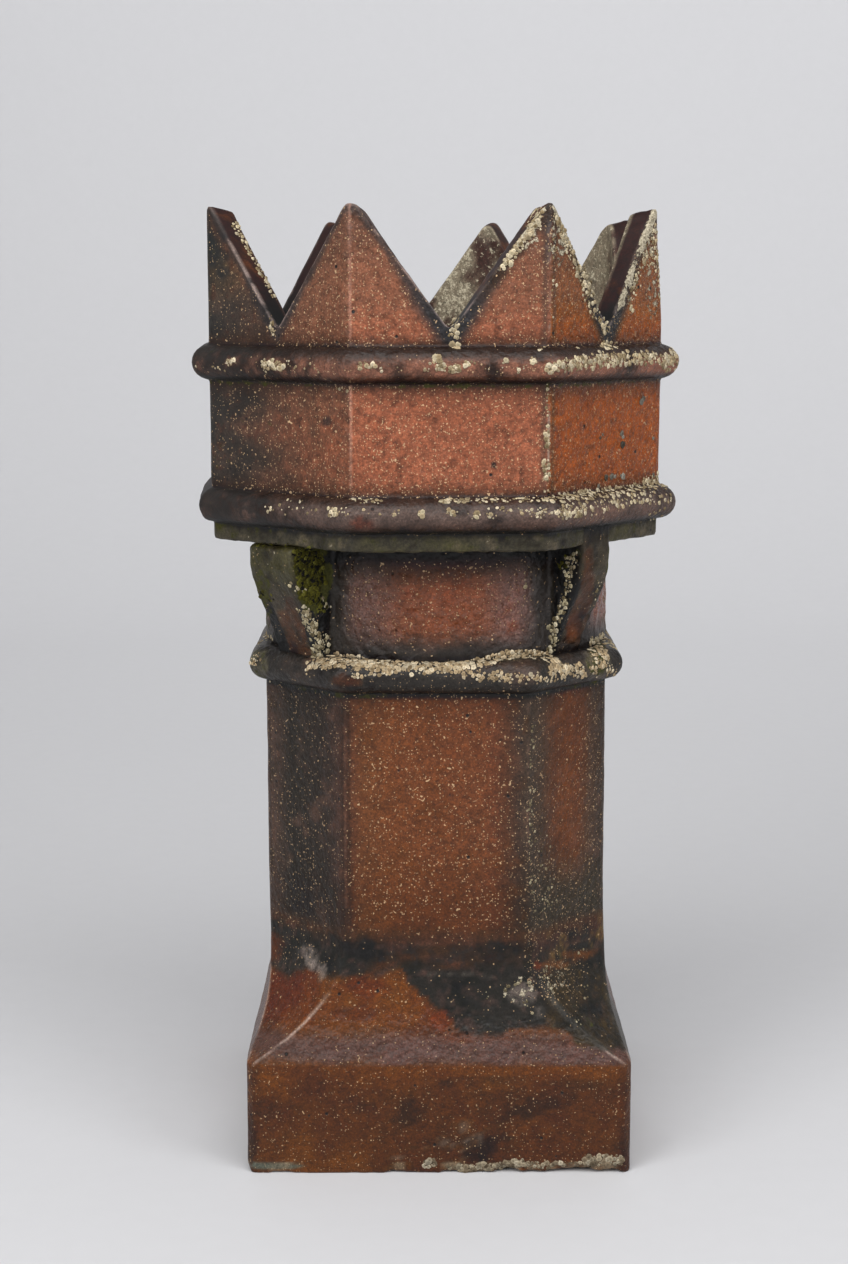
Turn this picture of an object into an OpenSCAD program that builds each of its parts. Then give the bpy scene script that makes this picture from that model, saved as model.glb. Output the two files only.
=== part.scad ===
// Chimney pot in fired clay: a square base, a shaft with bevelled corners, a vented neck and an
// eight-sided crown cut into points. Millimetres, +Z up, front toward -Y.
// The origin lies under the crown's axis, at the level of the foot.

/* [Overall] */
// Height from the foot to the tips of the crown
pot_height = 900; // [750:5:1200]
// Width of the square base
base_width = 362; // [300:1:440]

/* [Base and shaft] */
// Thickness of the base and shaft walls
body_wall = 25; // [18:1:32]
// Height of the upright band at the foot
base_height = 108; // [60:1:140]
// How far each side of the shaft is set in from the base
shaft_set_in = 19.5; // [10:0.5:30]
// Size of the bevel on each corner of the shaft
corner_bevel = 76.5; // [60:0.5:92]
// Height over which the sides curve in from the base to the shaft
side_run = 77; // [50:1:130]
// Height over which the corners curve in from the base to the bevels
corner_run = 132; // [80:1:180]
// Worn width taken off each upright corner of the base
corner_ease = 5; // [1:0.5:12]

/* [Neck] */
// Radius of the half-round rolls
roll_radius = 16; // [12:0.5:22]
// How far each roll's centre stands out from the wall it runs round
roll_proud = 0.5; // [0.5:0.5:3]
// How far the round drum stands out from the sides of the shaft
drum_proud = 6.5; // [0:0.5:9]
// Thickness of the drum's wall
drum_wall = 25; // [18:1:32]
// Height of the vents between the shaft's roll and the crown
vent_height = 104; // [60:1:140]
// How far the drum goes on up inside the crown
drum_rise = 110; // [40:1:170]

/* [Brackets] */
// Widths of the four brackets, from the front left round to the back left
bracket_widths = [59, 38, 50, 50];
// How far each bracket's face stands out past the crown's flats, or back from them
bracket_reaches = [5, -4, 0, 0];
// Which brackets run up over the lip to the roll above it
bracket_over_lip = [false, true, false, false];
// How far a bracket's foot stands in from its face
bracket_taper = 37; // [10:1:40]
// Height of the straight upper part of a bracket's face
bracket_head = 21; // [10:1:40]

/* [Crown] */
// Clear gap between the drum and the crown's wall
air_gap = 22; // [16:1:40]
// Thickness of the crown's wall
crown_wall = 22; // [16:1:30]
// Turn of the crown on the shaft, in degrees
crown_twist = 6; // [0:0.5:15]
// How far the shaft's axis stands to the right of the crown's axis
shaft_shift = 9; // [0:1:12]
// Height of the lip under the lower roll
lip_height = 17; // [8:1:30]
// How far the lip is set in from the crown's flats
lip_set_in = 2; // [0:0.5:6]
// Height of the plain wall between the crown's two rolls
crown_band = 100; // [60:1:160]
// Height of the wall above the upper roll, up to the notches
crown_rim = 13; // [4:1:30]
// Depth of the notches between the points
notch_depth = 112; // [60:1:150]
// Blunt width at the tip of each point
tip_width = 6; // [2:1:14]

/* [Hidden] */
side_count = 8;
side_turn = 360 / side_count;
side_power = 2.2;
corner_power = 2.7;
profile_steps = 16;
overlap = 1;

base_half = base_width / 2;
shaft_half = base_half - shaft_set_in;
base_diagonal = base_half * sqrt(2) - corner_ease;
shaft_diagonal = (2 * shaft_half - corner_bevel) / sqrt(2);

drum_radius = shaft_half + drum_proud;
drum_bore = drum_radius - drum_wall;
crown_inner = drum_radius + air_gap;
crown_flat = crown_inner + crown_wall;
lip_flat = crown_flat - lip_set_in;
slab_length = 4 * crown_flat;

roll_height = 2 * roll_radius;
points_bottom = pot_height - notch_depth;
upper_roll_z = points_bottom - crown_rim - roll_height;
lower_roll_z = upper_roll_z - crown_band - roll_height;
crown_bottom = lower_roll_z - lip_height;
shaft_roll_z = crown_bottom - vent_height - roll_height;
shaft_top = shaft_roll_z + roll_radius;
bracket_bottom = shaft_roll_z + roll_height;
drum_top = crown_bottom + drum_rise;

notch_half_width = crown_flat * tan(side_turn / 2) - tip_width / 2;

// A hollow curve that starts at 1 and dies away to 0 as the height goes from bottom to bottom + run.
function hollow(z, bottom, run, power) = pow(1 - min(max((z - bottom) / run, 0), 1), power);

function side_distance(z) =
    shaft_half + (base_half - shaft_half) * hollow(z, base_height, side_run, side_power);

function corner_distance(z) =
    shaft_diagonal + (base_diagonal - shaft_diagonal) * hollow(z, base_height, corner_run, corner_power);

// Heights at which an outline turns: the foot, the steps up the curve, and the top.
function levels(foot, run) = concat(
    [foot],
    [for (i = [0 : profile_steps]) base_height + run * i / profile_steps],
    [shaft_top]
);

// The right-hand half of an outline, as distance and height, and the same mirrored on the left.
function mirrored(points) = concat(
    points,
    [for (i = [len(points) - 1 : -1 : 0]) [-points[i][0], points[i][1]]]
);

// A long bar along Y with the given outline in XZ.
module outline_bar(points) {
    rotate([90, 0, 0])
        linear_extrude(height = slab_length, center = true)
            polygon(mirrored(points));
}

// Four outlines crossed at 45 degrees, so that each height is a square with bevelled corners.
module crossed_bars(side_points, corner_points) {
    intersection() {
        outline_bar(side_points);
        rotate([0, 0, 90]) outline_bar(side_points);
        rotate([0, 0, 45]) outline_bar(corner_points);
        rotate([0, 0, 135]) outline_bar(corner_points);
    }
}

// Base, shoulder and shaft as one form, drawn in by inset for the hollow inside it.
module body_form(foot, inset) {
    crossed_bars(
        [for (z = levels(foot, side_run)) [side_distance(z) - inset, z]],
        [for (z = levels(foot, corner_run)) [corner_distance(z) - inset, z]]
    );
}

// A bar along Y whose two long edges are half-round.
module rolled_bar(distance) {
    rotate([90, 0, 0])
        linear_extrude(height = slab_length, center = true)
            union() {
                square([2 * (distance + roll_proud), roll_height], center = true);
                translate([distance + roll_proud, 0]) circle(r = roll_radius, $fn = 48);
                translate([-distance - roll_proud, 0]) circle(r = roll_radius, $fn = 48);
            }
}

// A solid eight-sided roll with its lower edge at height z.
module roll(side, corner, z) {
    translate([0, 0, z + roll_radius])
        intersection() {
            rolled_bar(side);
            rotate([0, 0, 90]) rolled_bar(side);
            rotate([0, 0, 45]) rolled_bar(corner);
            rotate([0, 0, 135]) rolled_bar(corner);
        }
}

// An eight-sided block between two heights, with a flat toward -Y.
module eight_sided(flat, bottom, top) {
    translate([0, 0, bottom])
        rotate([0, 0, side_turn / 2])
            cylinder(r = flat / cos(side_turn / 2), h = top - bottom, $fn = side_count);
}

// A bracket's face runs up nearly straight from its foot, eased at both ends.
function bracket_face(reach, t) = reach - bracket_taper * (1 - 0.7 * t - 0.3 * t * t * (3 - 2 * t));

function bracket_outline(reach, over_lip) = concat(
    [[drum_bore + drum_wall / 2, shaft_top], [reach - bracket_taper, shaft_top]],
    [for (i = [0 : profile_steps])
        let (t = i / profile_steps)
        [bracket_face(reach, t), bracket_bottom + t * (vent_height - bracket_head)]],
    over_lip
        ? [[reach, lower_roll_z + roll_radius / 2]]
        : [[reach, crown_bottom], [crown_inner + crown_wall / 2, crown_bottom],
           [crown_inner + crown_wall / 2, lower_roll_z]],
    [[drum_bore + drum_wall / 2, over_lip ? lower_roll_z + roll_radius / 2 : lower_roll_z]]
);

// One bracket, standing out toward -Y.
module bracket(width, reach, over_lip) {
    rotate([90, 0, -90])
        linear_extrude(height = width, center = true)
            polygon(bracket_outline(reach, over_lip));
}

module brackets() {
    for (i = [0 : 3])
        rotate([0, 0, 90 * i - 45])
            bracket(bracket_widths[i], crown_flat + bracket_reaches[i], bracket_over_lip[i]);
}

// The V cut through the crown's wall in the middle of each side.
module notches() {
    for (i = [0 : side_count - 1])
        rotate([0, 0, side_turn * i])
            translate([0, -crown_flat / 2, points_bottom])
                rotate([90, 0, 0])
                    linear_extrude(height = crown_flat)
                        polygon([
                            [0, 0],
                            [notch_half_width * (1 + overlap / notch_depth), notch_depth + overlap],
                            [-notch_half_width * (1 + overlap / notch_depth), notch_depth + overlap]
                        ]);
}

module crown() {
    rotate([0, 0, crown_twist])
        difference() {
            union() {
                eight_sided(lip_flat, crown_bottom, lower_roll_z + roll_radius);
                roll(crown_flat, crown_flat, lower_roll_z);
                eight_sided(crown_flat, lower_roll_z + roll_radius, pot_height);
                roll(crown_flat, crown_flat, upper_roll_z);
            }
            eight_sided(crown_inner, crown_bottom - overlap, pot_height + overlap);
            notches();
        }
}

module neck() {
    translate([0, 0, shaft_top])
        cylinder(r = drum_radius, h = drum_top - shaft_top, $fn = 96);
    brackets();
}

module flue() {
    body_form(-overlap, body_wall);
    translate([0, 0, shaft_top - overlap])
        cylinder(r = drum_bore, h = drum_top - shaft_top + 2 * overlap, $fn = 96);
}

// Base, shaft, neck and crown are fired as one piece around an open flue.
module pot() {
    color("#9a5a3c")
        union() {
            crown();
            translate([shaft_shift, 0, 0])
                difference() {
                    union() {
                        body_form(0, 0);
                        roll(shaft_half, shaft_diagonal, shaft_roll_z);
                        neck();
                    }
                    flue();
                }
        }
}

pot();
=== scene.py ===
import math
import bpy
import numpy as np
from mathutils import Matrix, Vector
from mathutils.bvhtree import BVHTree


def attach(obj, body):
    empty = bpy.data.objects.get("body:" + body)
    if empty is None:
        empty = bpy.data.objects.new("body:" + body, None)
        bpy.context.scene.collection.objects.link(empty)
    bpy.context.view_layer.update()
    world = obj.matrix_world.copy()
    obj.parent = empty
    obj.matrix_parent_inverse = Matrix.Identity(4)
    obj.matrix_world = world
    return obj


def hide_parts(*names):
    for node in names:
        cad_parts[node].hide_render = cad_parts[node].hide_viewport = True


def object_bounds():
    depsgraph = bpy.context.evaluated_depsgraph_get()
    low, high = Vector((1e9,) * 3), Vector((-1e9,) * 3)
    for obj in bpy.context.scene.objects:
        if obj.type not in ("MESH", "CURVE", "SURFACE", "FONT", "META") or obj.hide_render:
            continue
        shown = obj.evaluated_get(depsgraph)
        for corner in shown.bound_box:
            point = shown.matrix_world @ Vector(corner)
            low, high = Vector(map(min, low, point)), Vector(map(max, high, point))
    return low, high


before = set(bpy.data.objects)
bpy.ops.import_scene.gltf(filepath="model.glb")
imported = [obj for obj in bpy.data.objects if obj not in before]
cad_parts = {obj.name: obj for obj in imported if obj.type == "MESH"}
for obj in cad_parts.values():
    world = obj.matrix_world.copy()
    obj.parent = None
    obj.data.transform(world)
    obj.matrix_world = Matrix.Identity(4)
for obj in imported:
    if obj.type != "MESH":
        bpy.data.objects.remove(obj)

# A weathered chimney pot of salt-glazed fireclay. Everything is worked in millimetres
# and turned to metres as each mesh is made. Front is -Y, and turns run from the front
# round by the right, in degrees.
mm = 0.001
boxGap = 0.02                            # every skin keeps this far inside the CAD model's box
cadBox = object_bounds()
topZ = cadBox[1][2] / mm

form = {
    "baseHeight": 108.0,
    "rollRadius": 16.0,
    "ventHeight": 104.0,                 # between the shaft's roll and the crown's lip
    "lipHeight": 17.0,
    "crownBand": 100.0,                  # wall between the crown's two rolls
    "crownRim": 13.0,                    # wall from the upper roll to the notches
    "notchDepth": 112.0,
    "shaftX": 9.0,                       # the shaft's axis stands right of the crown's
}
notchZ = topZ - form["notchDepth"]
upperRollZ = notchZ - form["crownRim"] - form["rollRadius"]
lowerRollZ = upperRollZ - form["crownBand"] - 2 * form["rollRadius"]
crownZ = lowerRollZ - form["rollRadius"] - form["lipHeight"]
shaftRollZ = crownZ - form["ventHeight"] - form["rollRadius"]
shelfZ = shaftRollZ + form["rollRadius"]

camera = {"eye": (-5.0, -2026.1, 811.0), "dip": 9.015, "lens": 58.67, "sensor": 36.0}
sightX = -2.5                            # places seen from the front are noted from this line of sight


def cellNoise(cells, seed):
    key = cells[..., 0] * 374761393 + cells[..., 1] * 668265263 + cells[..., 2] * 1440662683 + seed * 974711
    key = (key ^ (key >> 13)) & 0xffffffff
    key = (key * 1274126177) & 0xffffffff
    return ((key ^ (key >> 16)) & 0xffff) / 32767.5 - 1


def clayNoise(points, size, seed):
    # smooth noise from -1 to 1 with bumps about one size across
    place = points / size
    cells = np.floor(place).astype(np.int64)
    part = place - cells
    part = part * part * (3 - 2 * part)
    total = 0
    for corner in range(8):
        step = np.array([corner & 1, corner >> 1 & 1, corner >> 2 & 1])
        weight = np.prod(np.where(step, part, 1 - part), axis=-1)
        total = total + weight * cellNoise(cells + step, seed)
    return total


def layeredNoise(points, size, seed, layers=3):
    total = sum(clayNoise(points, size / 2 ** i, seed + i) / 2 ** i for i in range(layers))
    return total / (2 - 2 ** (1 - layers))


def smoothStep(value, low, high):
    t = np.clip((value - low) / (high - low), 0, 1)
    return t * t * (3 - 2 * t)


def band(value, low, high, soft):
    return smoothStep(value, low - soft, low + soft) * (1 - smoothStep(value, high - soft, high + soft))


def line(value, middle, spread):
    return np.exp(-((value - middle) / spread) ** 2)


def softLeast(a, b, soften):
    return -soften * np.logaddexp(-a / soften, -b / soften)


def softMost(a, b, soften):
    return soften * np.logaddexp(a / soften, b / soften)


def octagonColumns(side, corner, turn, perSide, perCorner):
    # angles of columns spread evenly over four sides and four bevels, with one on every arris,
    # and each column's way along the face to its nearest arris
    half = corner * math.sqrt(2) - side
    u = np.linspace(-1, 1, perSide, endpoint=False)
    v = np.linspace(0, 1, perCorner, endpoint=False)
    x = np.concatenate([half * u, half + (side - half) * v], 1)
    y = np.concatenate([side + 0 * u * half, side + (half - side) * v], 1)
    bevel = math.sqrt(2) * (side - half)
    way = np.concatenate([half * (1 - np.abs(u)), bevel * np.minimum(v, 1 - v)], 1)
    quarter = np.arctan2(x, y) + math.radians(turn)
    return np.concatenate([quarter + i * math.pi / 2 for i in range(4)], 1), np.tile(way, (1, 4))


def eightSided(angles, sides, corners, turn, soften):
    # distance from the axis to a square with bevelled corners, with softened arrises
    total, sideways, farOff = 0, 0.2, 1e4
    offset = 100                         # keeps the exponents small
    for i in range(8):
        facing = np.cos(angles - math.radians(turn + 45 * i))
        flat = (sides if i % 2 == 0 else corners) / np.maximum(facing, sideways)
        total = total + np.exp(-(np.where(facing > sideways, flat, farOff) - offset) / soften)
    return offset - soften * np.log(total)


def placed(angles, radius, heights, axisX=0.0):
    angles, radius, heights = np.broadcast_arrays(angles, radius, heights)
    return np.stack([axisX + radius * np.sin(angles), -radius * np.cos(angles), heights], -1)


def relaxed(points, times):
    # every grid here closes on itself both ways
    for _ in range(times):
        around = (np.roll(points, 1, 1) + np.roll(points, -1, 1)) / 2
        along = (np.roll(points, 1, 0) + np.roll(points, -1, 0)) / 2
        points = points / 2 + around / 4 + along / 4
    return points


def surfaceNormals(points):
    across = np.roll(points, -1, 1) - np.roll(points, 1, 1)
    along = np.roll(points, -1, 0) - np.roll(points, 1, 0)
    normal = np.cross(across, along)
    return normal / np.maximum(np.linalg.norm(normal, axis=-1, keepdims=True), 1e-9)


def handMade(points, depth, size, seed):
    # the slight waves and dents of clay that was pressed and slid about by hand
    return points + surfaceNormals(points) * (depth * layeredNoise(points, size, seed))[..., None]


def insideBox(points):
    low, high = (np.array(corner) / mm for corner in cadBox)
    return np.clip(points, low + boxGap, high - boxGap)


def meshPiece(name, points, faces):
    mesh = bpy.data.meshes.new(name)
    mesh.from_pydata((points * mm).tolist(), [], faces)
    mesh.shade_smooth()
    piece = bpy.data.objects.new(name, mesh)
    bpy.context.scene.collection.objects.link(piece)
    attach(piece, "root")
    return piece


def gridPiece(name, points):
    rows, columns = points.shape[:2]
    index = np.arange(rows * columns).reshape(rows, columns)
    right, above = np.roll(index, -1, 1), np.roll(index, -1, 0)
    quads = np.stack([index, right, np.roll(right, -1, 0), above], -1)
    return meshPiece(name, points.reshape(-1, 3), quads.reshape(-1, 4).tolist())


def steps(low, high, spacing):
    return list(np.linspace(low, high, max(2, round(abs(high - low) / spacing) + 1)))


def columnsOf(rows):
    table = np.array(rows, float)
    return [table[:, i:i + 1] for i in range(table.shape[1])]


def rollRows(z, side, corner, count=13):
    turns = np.linspace(-math.pi / 2, math.pi / 2, count)
    radius = form["rollRadius"]
    return [(z + radius * math.sin(a), side + radius * math.cos(a), corner + radius * math.cos(a))
            for a in turns]


def hexTone(code):
    return np.array([int(code[i:i + 2], 16) for i in (1, 3, 5)]) / 255


def linear(tone):
    tone = np.clip(tone, 0, 1)
    return np.where(tone <= 0.04045, tone / 12.92, ((tone + 0.055) / 1.055) ** 2.4)


def linearHex(code):
    return (*linear(hexTone(code)), 1.0)


def fill(code, points):
    return np.broadcast_to(hexTone(code), points.shape)


def blend(tone, other, amount):
    other = hexTone(other) if isinstance(other, str) else other
    return tone + (other - tone) * amount[..., None]


def ramp(value, stops):
    # tones passing from one stop to the next along a value
    tones = np.array([hexTone(code) for at, code in stops])
    return np.stack([np.interp(value, [at for at, code in stops], tones[:, i]) for i in range(3)], -1)


def turnOf(points, axisX=0.0):
    return np.degrees(np.arctan2(points[..., 0] - axisX, -points[..., 1]))


def wrapTurn(turn):
    return (turn + 180) % 360 - 180


def fromFront(points, depth):
    # where each point shows on an upright plane so far in front of the axis, seen by the eye
    eye = np.array(camera["eye"])
    near = (-depth - eye[1]) / (points[..., 1] - eye[1])
    return sightX + (points[..., 0] - eye[0]) * near, eye[2] + (points[..., 2] - eye[2]) * near


def frontPatch(points, depth, x, z, wide, tall, ragged=0.35, grain=12, seed=0):
    # 1 inside an ellipse on the front, fading to 0 across a ragged edge
    seenX, seenZ = fromFront(points, depth)
    away = np.hypot((seenX - x) / wide, (seenZ - z) / tall)
    away = away + ragged * layeredNoise(points, grain, 300 + seed)
    return (1 - smoothStep(away, 0.74, 1.1)) * smoothStep(-points[..., 1], -10, 40)


def frontPatches(points, depth, patches):
    # the strongest of several patches, each as x, z, half width, half height and how strong
    most = np.zeros(points.shape[:-1])
    for i, (x, z, wide, tall, amount) in enumerate(patches):
        most = np.maximum(most, amount * frontPatch(points, depth, x, z, wide, tall, 0.4, 10, i))
    return most


sheenGain = 0.016                        # what the glaze's reflection of a pale room adds to every tone
leastTone = 0.0015


def lay(piece, paint):
    # tones are laid darker by what the sheen gives back
    for name, values in paint.items():
        kind = "FLOAT_COLOR" if values.ndim == 3 else "FLOAT"
        layer = piece.data.attributes.new(name, kind, "POINT")
        if kind == "FLOAT":
            layer.data.foreach_set("value", np.clip(values, 0, 1).astype(np.float32).ravel())
        else:
            bare = np.maximum(linear(values) - sheenGain, leastTone)
            four = np.concatenate([bare, np.ones(values.shape[:2] + (1,))], -1)
            layer.data.foreach_set("color", four.astype(np.float32).ravel())


shaftShape = {
    "baseSide": 181.4, "baseCorner": 252.0,
    "side": 162.6, "corner": 175.2, "lean": -2.4,
    "sideRun": 77.0, "cornerRun": 132.0,               # heights of the hollow curves on the shoulder
    "wall": 25.0,
    "perSide": 80, "perCorner": 38, "rowSpacing": 3.3,
    # broken stretches of the bottom edge: from x, to x, how high
    "chips": [(-40, -22, 2.6), (12, 30, 2.8), (40, 60, 2.5), (62, 86, 5.5), (92, 108, 3.2), (112, 134, 4.0),
              (134, 158, 7.0), (160, 182, 5.0), (-192, -172, 6.0), (-150, -130, 2.5)],
}


def sideAt(z):
    run = np.clip((z - form["baseHeight"]) / shaftShape["sideRun"], 0, 1)
    return shaftShape["side"] + (shaftShape["baseSide"] - shaftShape["side"]) * (1 - run) ** 2.2


def cornerAt(z):
    run = np.clip((z - form["baseHeight"]) / shaftShape["cornerRun"], 0, 1)
    return shaftShape["corner"] + (shaftShape["baseCorner"] - shaftShape["corner"]) * (1 - run) ** 2.7


def leanAt(z):
    # the shaft was slid a touch left as the two pieces were luted together
    return shaftShape["lean"] * smoothStep(z, 130, 300)


def chipHeight(points):
    # how far the bottom edge is broken away
    front = points[..., 1] < 0
    chip = 1.6 * np.clip(layeredNoise(points * (1, 1, 0), 18, 71) - 0.1, 0, 1)
    for low, high, height in shaftShape["chips"]:
        rough = 0.75 + 0.5 * layeredNoise(points * (1, 1, 0), 7, 72)
        chip = np.maximum(chip, front * height * rough * band(points[..., 0], low, high, 5))
    return chip


def makeShaft():
    shape = shaftShape
    wall, base = shape["wall"], form["baseHeight"]
    spacing = shape["rowSpacing"]
    under = [(0, shape["baseSide"] - wall * t, shape["baseCorner"] - wall * t, t)
             for t in (1, 0.75, 0.5, 0.25, 0.1)]
    outside = [(z, sideAt(z), cornerAt(z), 0) for z in (0, 1.5, 3.2, 5, 7, 9.2)]
    outside += [(z, sideAt(z), cornerAt(z), 0) for z in steps(12, base, spacing)]
    shaftTop = shaftRollZ - form["rollRadius"]
    outside += [(z, sideAt(z), cornerAt(z), 0) for z in steps(base + 2, shaftTop, spacing)]
    outside += [(*row, 0) for row in rollRows(shaftRollZ, shape["side"], shape["corner"])]
    shelf = [(shelfZ, shape["side"] - t, shape["corner"] - t, 0) for t in (4, 9, 14)]
    ceiling = [(shaftRollZ, shape["side"] - wall - t, shape["corner"] - wall - t, 1) for t in (-4, 0)]
    inside = [(z, sideAt(z) - wall, cornerAt(z) - wall, 1) for z in steps(shaftRollZ - 6, 6, 26)]
    z, sides, corners, deep = columnsOf(under + outside + shelf + ceiling + inside)
    angles, way = octagonColumns(sides, corners, 0, shape["perSide"], shape["perCorner"])
    soften = 0.7 + 0.5 * (1 + clayNoise(placed(angles, sides, z), 45, 11)) * (1 - band(z, 104, 190, 4))
    points = placed(angles, eightSided(angles, sides, corners, 0, soften), z, form["shaftX"])
    points = handMade(relaxed(points, 2), 0.9, 60, 12)
    points = handMade(points, 0.35, 14, 13)
    # clay dragged into low folds at the foot of the front bevels
    seenX, seenZ = fromFront(points, shape["side"])
    fold = line(seenX - 0.55 * (seenZ - 215), -112, 5) * band(seenZ, 188, 232, 8)
    fold += 0.8 * line(seenX + 0.9 * (seenZ - 200), 112, 5) * band(seenZ, 186, 222, 8)
    fold += 0.5 * line(seenZ + 0.12 * seenX, 203, 3) * band(seenX, -20, 70, 12)
    points += surfaceNormals(points) * (1.7 * fold * (points[..., 1] < 0))[..., None]
    chip = chipHeight(points) * (1 - smoothStep(points[..., 2], 0, 10)) * (1 - np.clip(deep * 2.2, 0, 1))
    outward = points - (form["shaftX"], 0, 0)
    outward = outward * (1, 1, 0) / np.linalg.norm(outward[..., :2], axis=-1, keepdims=True)
    points = points - outward * (0.7 * chip)[..., None]
    points[..., 2] += chip
    points[..., 0] += leanAt(points[..., 2])
    return insideBox(points), way, np.broadcast_to(deep, way.shape)


shaftPaint = {
    # tones across the front as seen, and across the other three sides from the middle outward
    "front": [(-157, "#5a463d"), (-147, "#483a33"), (-135, "#2f2b27"), (-113, "#322c28"), (-102, "#342d29"),
              (-91, "#44342e"), (-80, "#59392b"), (-68, "#65402b"), (-40, "#6c412a"), (0, "#693f2a"),
              (42, "#69402c"), (54, "#643d2c"), (65, "#54382b"), (76, "#44362f"), (87, "#453b33"),
              (98, "#4a392e"), (109, "#5d3a29"), (121, "#663c25"), (132, "#613b28"), (143, "#4b392e"),
              (154, "#3d342e")],
    "sides": [(0, "#693f2a"), (54, "#643d2c"), (68, "#52372b"), (80, "#40342d"), (100, "#35302c"),
              (125, "#33302c")],
    "panelTan": "#78492c", "panelRed": "#532f1f", "bevelAsh": "#3b352f", "bevelBrown": "#5a4136",
    "bevelOlive": "#3f3a31", "foot": "#352d28", "rubbedArris": "#6f5346", "besideArris": "#2b2420",
    "inside": "#2a2522",
    # here and below: x, z, half width, half height and how strong, seen from the front
    "speckPatches": [(97, 290, 9, 130, 1.0), (102, 420, 7, 40, 0.8), (118, 262, 40, 44, 0.8),
                     (126, 182, 26, 30, 0.9), (-120, 300, 26, 130, 0.42), (150, 340, 14, 120, 0.8)],
    "crustPatches": [(88, 170, 18, 14, 0.42), (98, 184, 22, 5, 0.4), (122, 188, 16, 18, 0.36)],
    "mossPatches": [(-152, 488, 14, 22, 0.3), (134, 176, 20, 30, 0.12), (146, 142, 12, 12, 0.3),
                    (156, 490, 10, 20, 0.5)],
}

shoulderPaint = {
    # the sheen tone here is a painted purplish sheen
    "slope": "#6a3f22", "slopeRed": "#5a3220", "slopeTan": "#74482a", "paintedSheen": "#56413d", "flow": "#4f2b1b",
    "soot": "#2f2d2a", "sootBrown": "#44302a", "sootDust": "#4d3b35", "sootBlack": "#232523",
    "bareStreak": "#5c3826", "scratch": "#6f655c", "amber": "#66522f", "rightFoot": "#3a3023",
    "sootPatch": "#292621", "brownPatch": "#6b4227", "redPatch": "#66331f", "palePatch": "#83776f",
    # the worn hip tone is worn clay and a painted highlight together
    "wornHipAndHighlight": "#a99488", "sootyHip": "#464542",
    # the soot's lower edge on the front, as x and z
    "sootFoot": [(-200, 196), (-150, 200), (-130, 190), (-110, 196), (-92, 183), (-74, 186), (-51, 190),
                 (-25, 194), (-20, 188), (-16, 177), (0, 165), (11, 152), (25, 140), (30, 131), (60, 129),
                 (86, 135), (110, 136), (136, 128), (150, 118), (200, 110)],
    "flows": [(-134, 176, 20, 26, 1.0), (-150, 150, 12, 20, 0.7), (-70, 150, 26, 8, 0.5),
              (6, 134, 30, 7, 0.5)],
    "sootPatches": [(-72, 214, 16, 8, 0.9), (-40, 206, 18, 6, 0.7), (-104, 226, 16, 8, 0.6),
                    (92, 214, 14, 9, 0.7), (20, 212, 44, 7, 0.7), (64, 203, 40, 6, 0.7),
                    (-10, 200, 24, 5, 0.5)],
    "redPatches": [(15, 144, 11, 11, 0.7), (-150, 216, 16, 20, 0.5), (104, 197, 4, 4, 0.8),
                   (-76, 470, 16, 6, 0.5), (30, 126, 18, 5, 0.4), (-60, 176, 34, 8, 0.25)],
    "brownPatches": [(120, 199, 16, 4, 0.8), (143, 209, 16, 5, 0.8), (-150, 222, 12, 12, 0.4)],
    "palePatches": [(-108, 205, 7, 11, 0.85), (-99, 193, 5, 9, 0.8), (-113, 213, 9, 6, 0.6),
                    (90, 168, 15, 12, 0.6), (106, 152, 7, 8, 0.5)],
}

basePaint = {
    "band": "#573621", "umber": "#33251d", "amber": "#673d1d", "tan": "#633c22", "cornerDark": "#2a201b",
    "smudge": "#282321", "scuff": "#7a6c62", "damp": "#565b52", "chip": "#8d7d66",
    "smudges": [(46, 16, 13, 8, 0.9), (56, 25, 12, 7, 0.8), (64, 34, 20, 4, 0.7), (38, 26, 6, 10, 0.5),
                (118, 72, 24, 10, 0.6), (96, 60, 18, 7, 0.5), (20, 88, 9, 6, 0.5), (-15, 60, 14, 14, 0.45),
                (-60, 66, 14, 7, 0.4), (-150, 62, 26, 9, 0.35), (-168, 30, 8, 30, 0.5),
                (140, 88, 30, 5, 0.35), (60, 92, 40, 5, 0.3)],
    "scuffs": [(30, 30, 22, 9, 0.6), (48, 44, 24, 7, 0.55), (66, 34, 20, 3, 0.5), (-34, 15, 26, 2.2, 0.6),
               (-6, 24, 14, 2.4, 0.5), (34, 12, 10, 5, 0.4)],
    "dampPatches": [(-142, 7, 28, 4, 0.9), (-176, 12, 8, 6, 0.7)],
}

shaftRollPaint = {
    "roll": "#35322f", "rollBrown": "#4a3b34", "rollSoot": "#2a2727", "film": "#6d6850",
    # painted shade: in the crease under the roll, and on the shelf above it
    "creaseShade": "#0f0d0a", "shelf": "#1c1a17",
    "filmPatches": [(-156, 492, 13, 18, 0.9), (156, 492, 12, 20, 0.6)],
}


def paintSlopes(tone, points, noises):
    # brown slopes with a painted purplish sheen low down, and redder where the glaze ran
    look = shoulderPaint
    z = points[..., 2]
    broad, middle, fine = noises
    low = 1 - smoothStep(z + 6 * middle + 3 * fine, 214, 236)
    slope = blend(fill(look["slope"], points), look["slopeRed"],
                  0.9 * smoothStep(middle + 0.5 * broad, -0.2, 0.5))
    slope = blend(slope, look["slopeTan"], 0.6 * smoothStep(-middle - 0.6 * fine, 0.1, 0.7))
    # painted sheen low on the slopes
    slope = blend(slope, look["paintedSheen"], 0.85 * band(z + 7 * middle + 12 * broad, 106, 134, 10))
    slope = blend(slope, look["flow"], 0.7 * frontPatches(points, shaftShape["side"], look["flows"]))
    return blend(tone, slope, low), low


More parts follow.
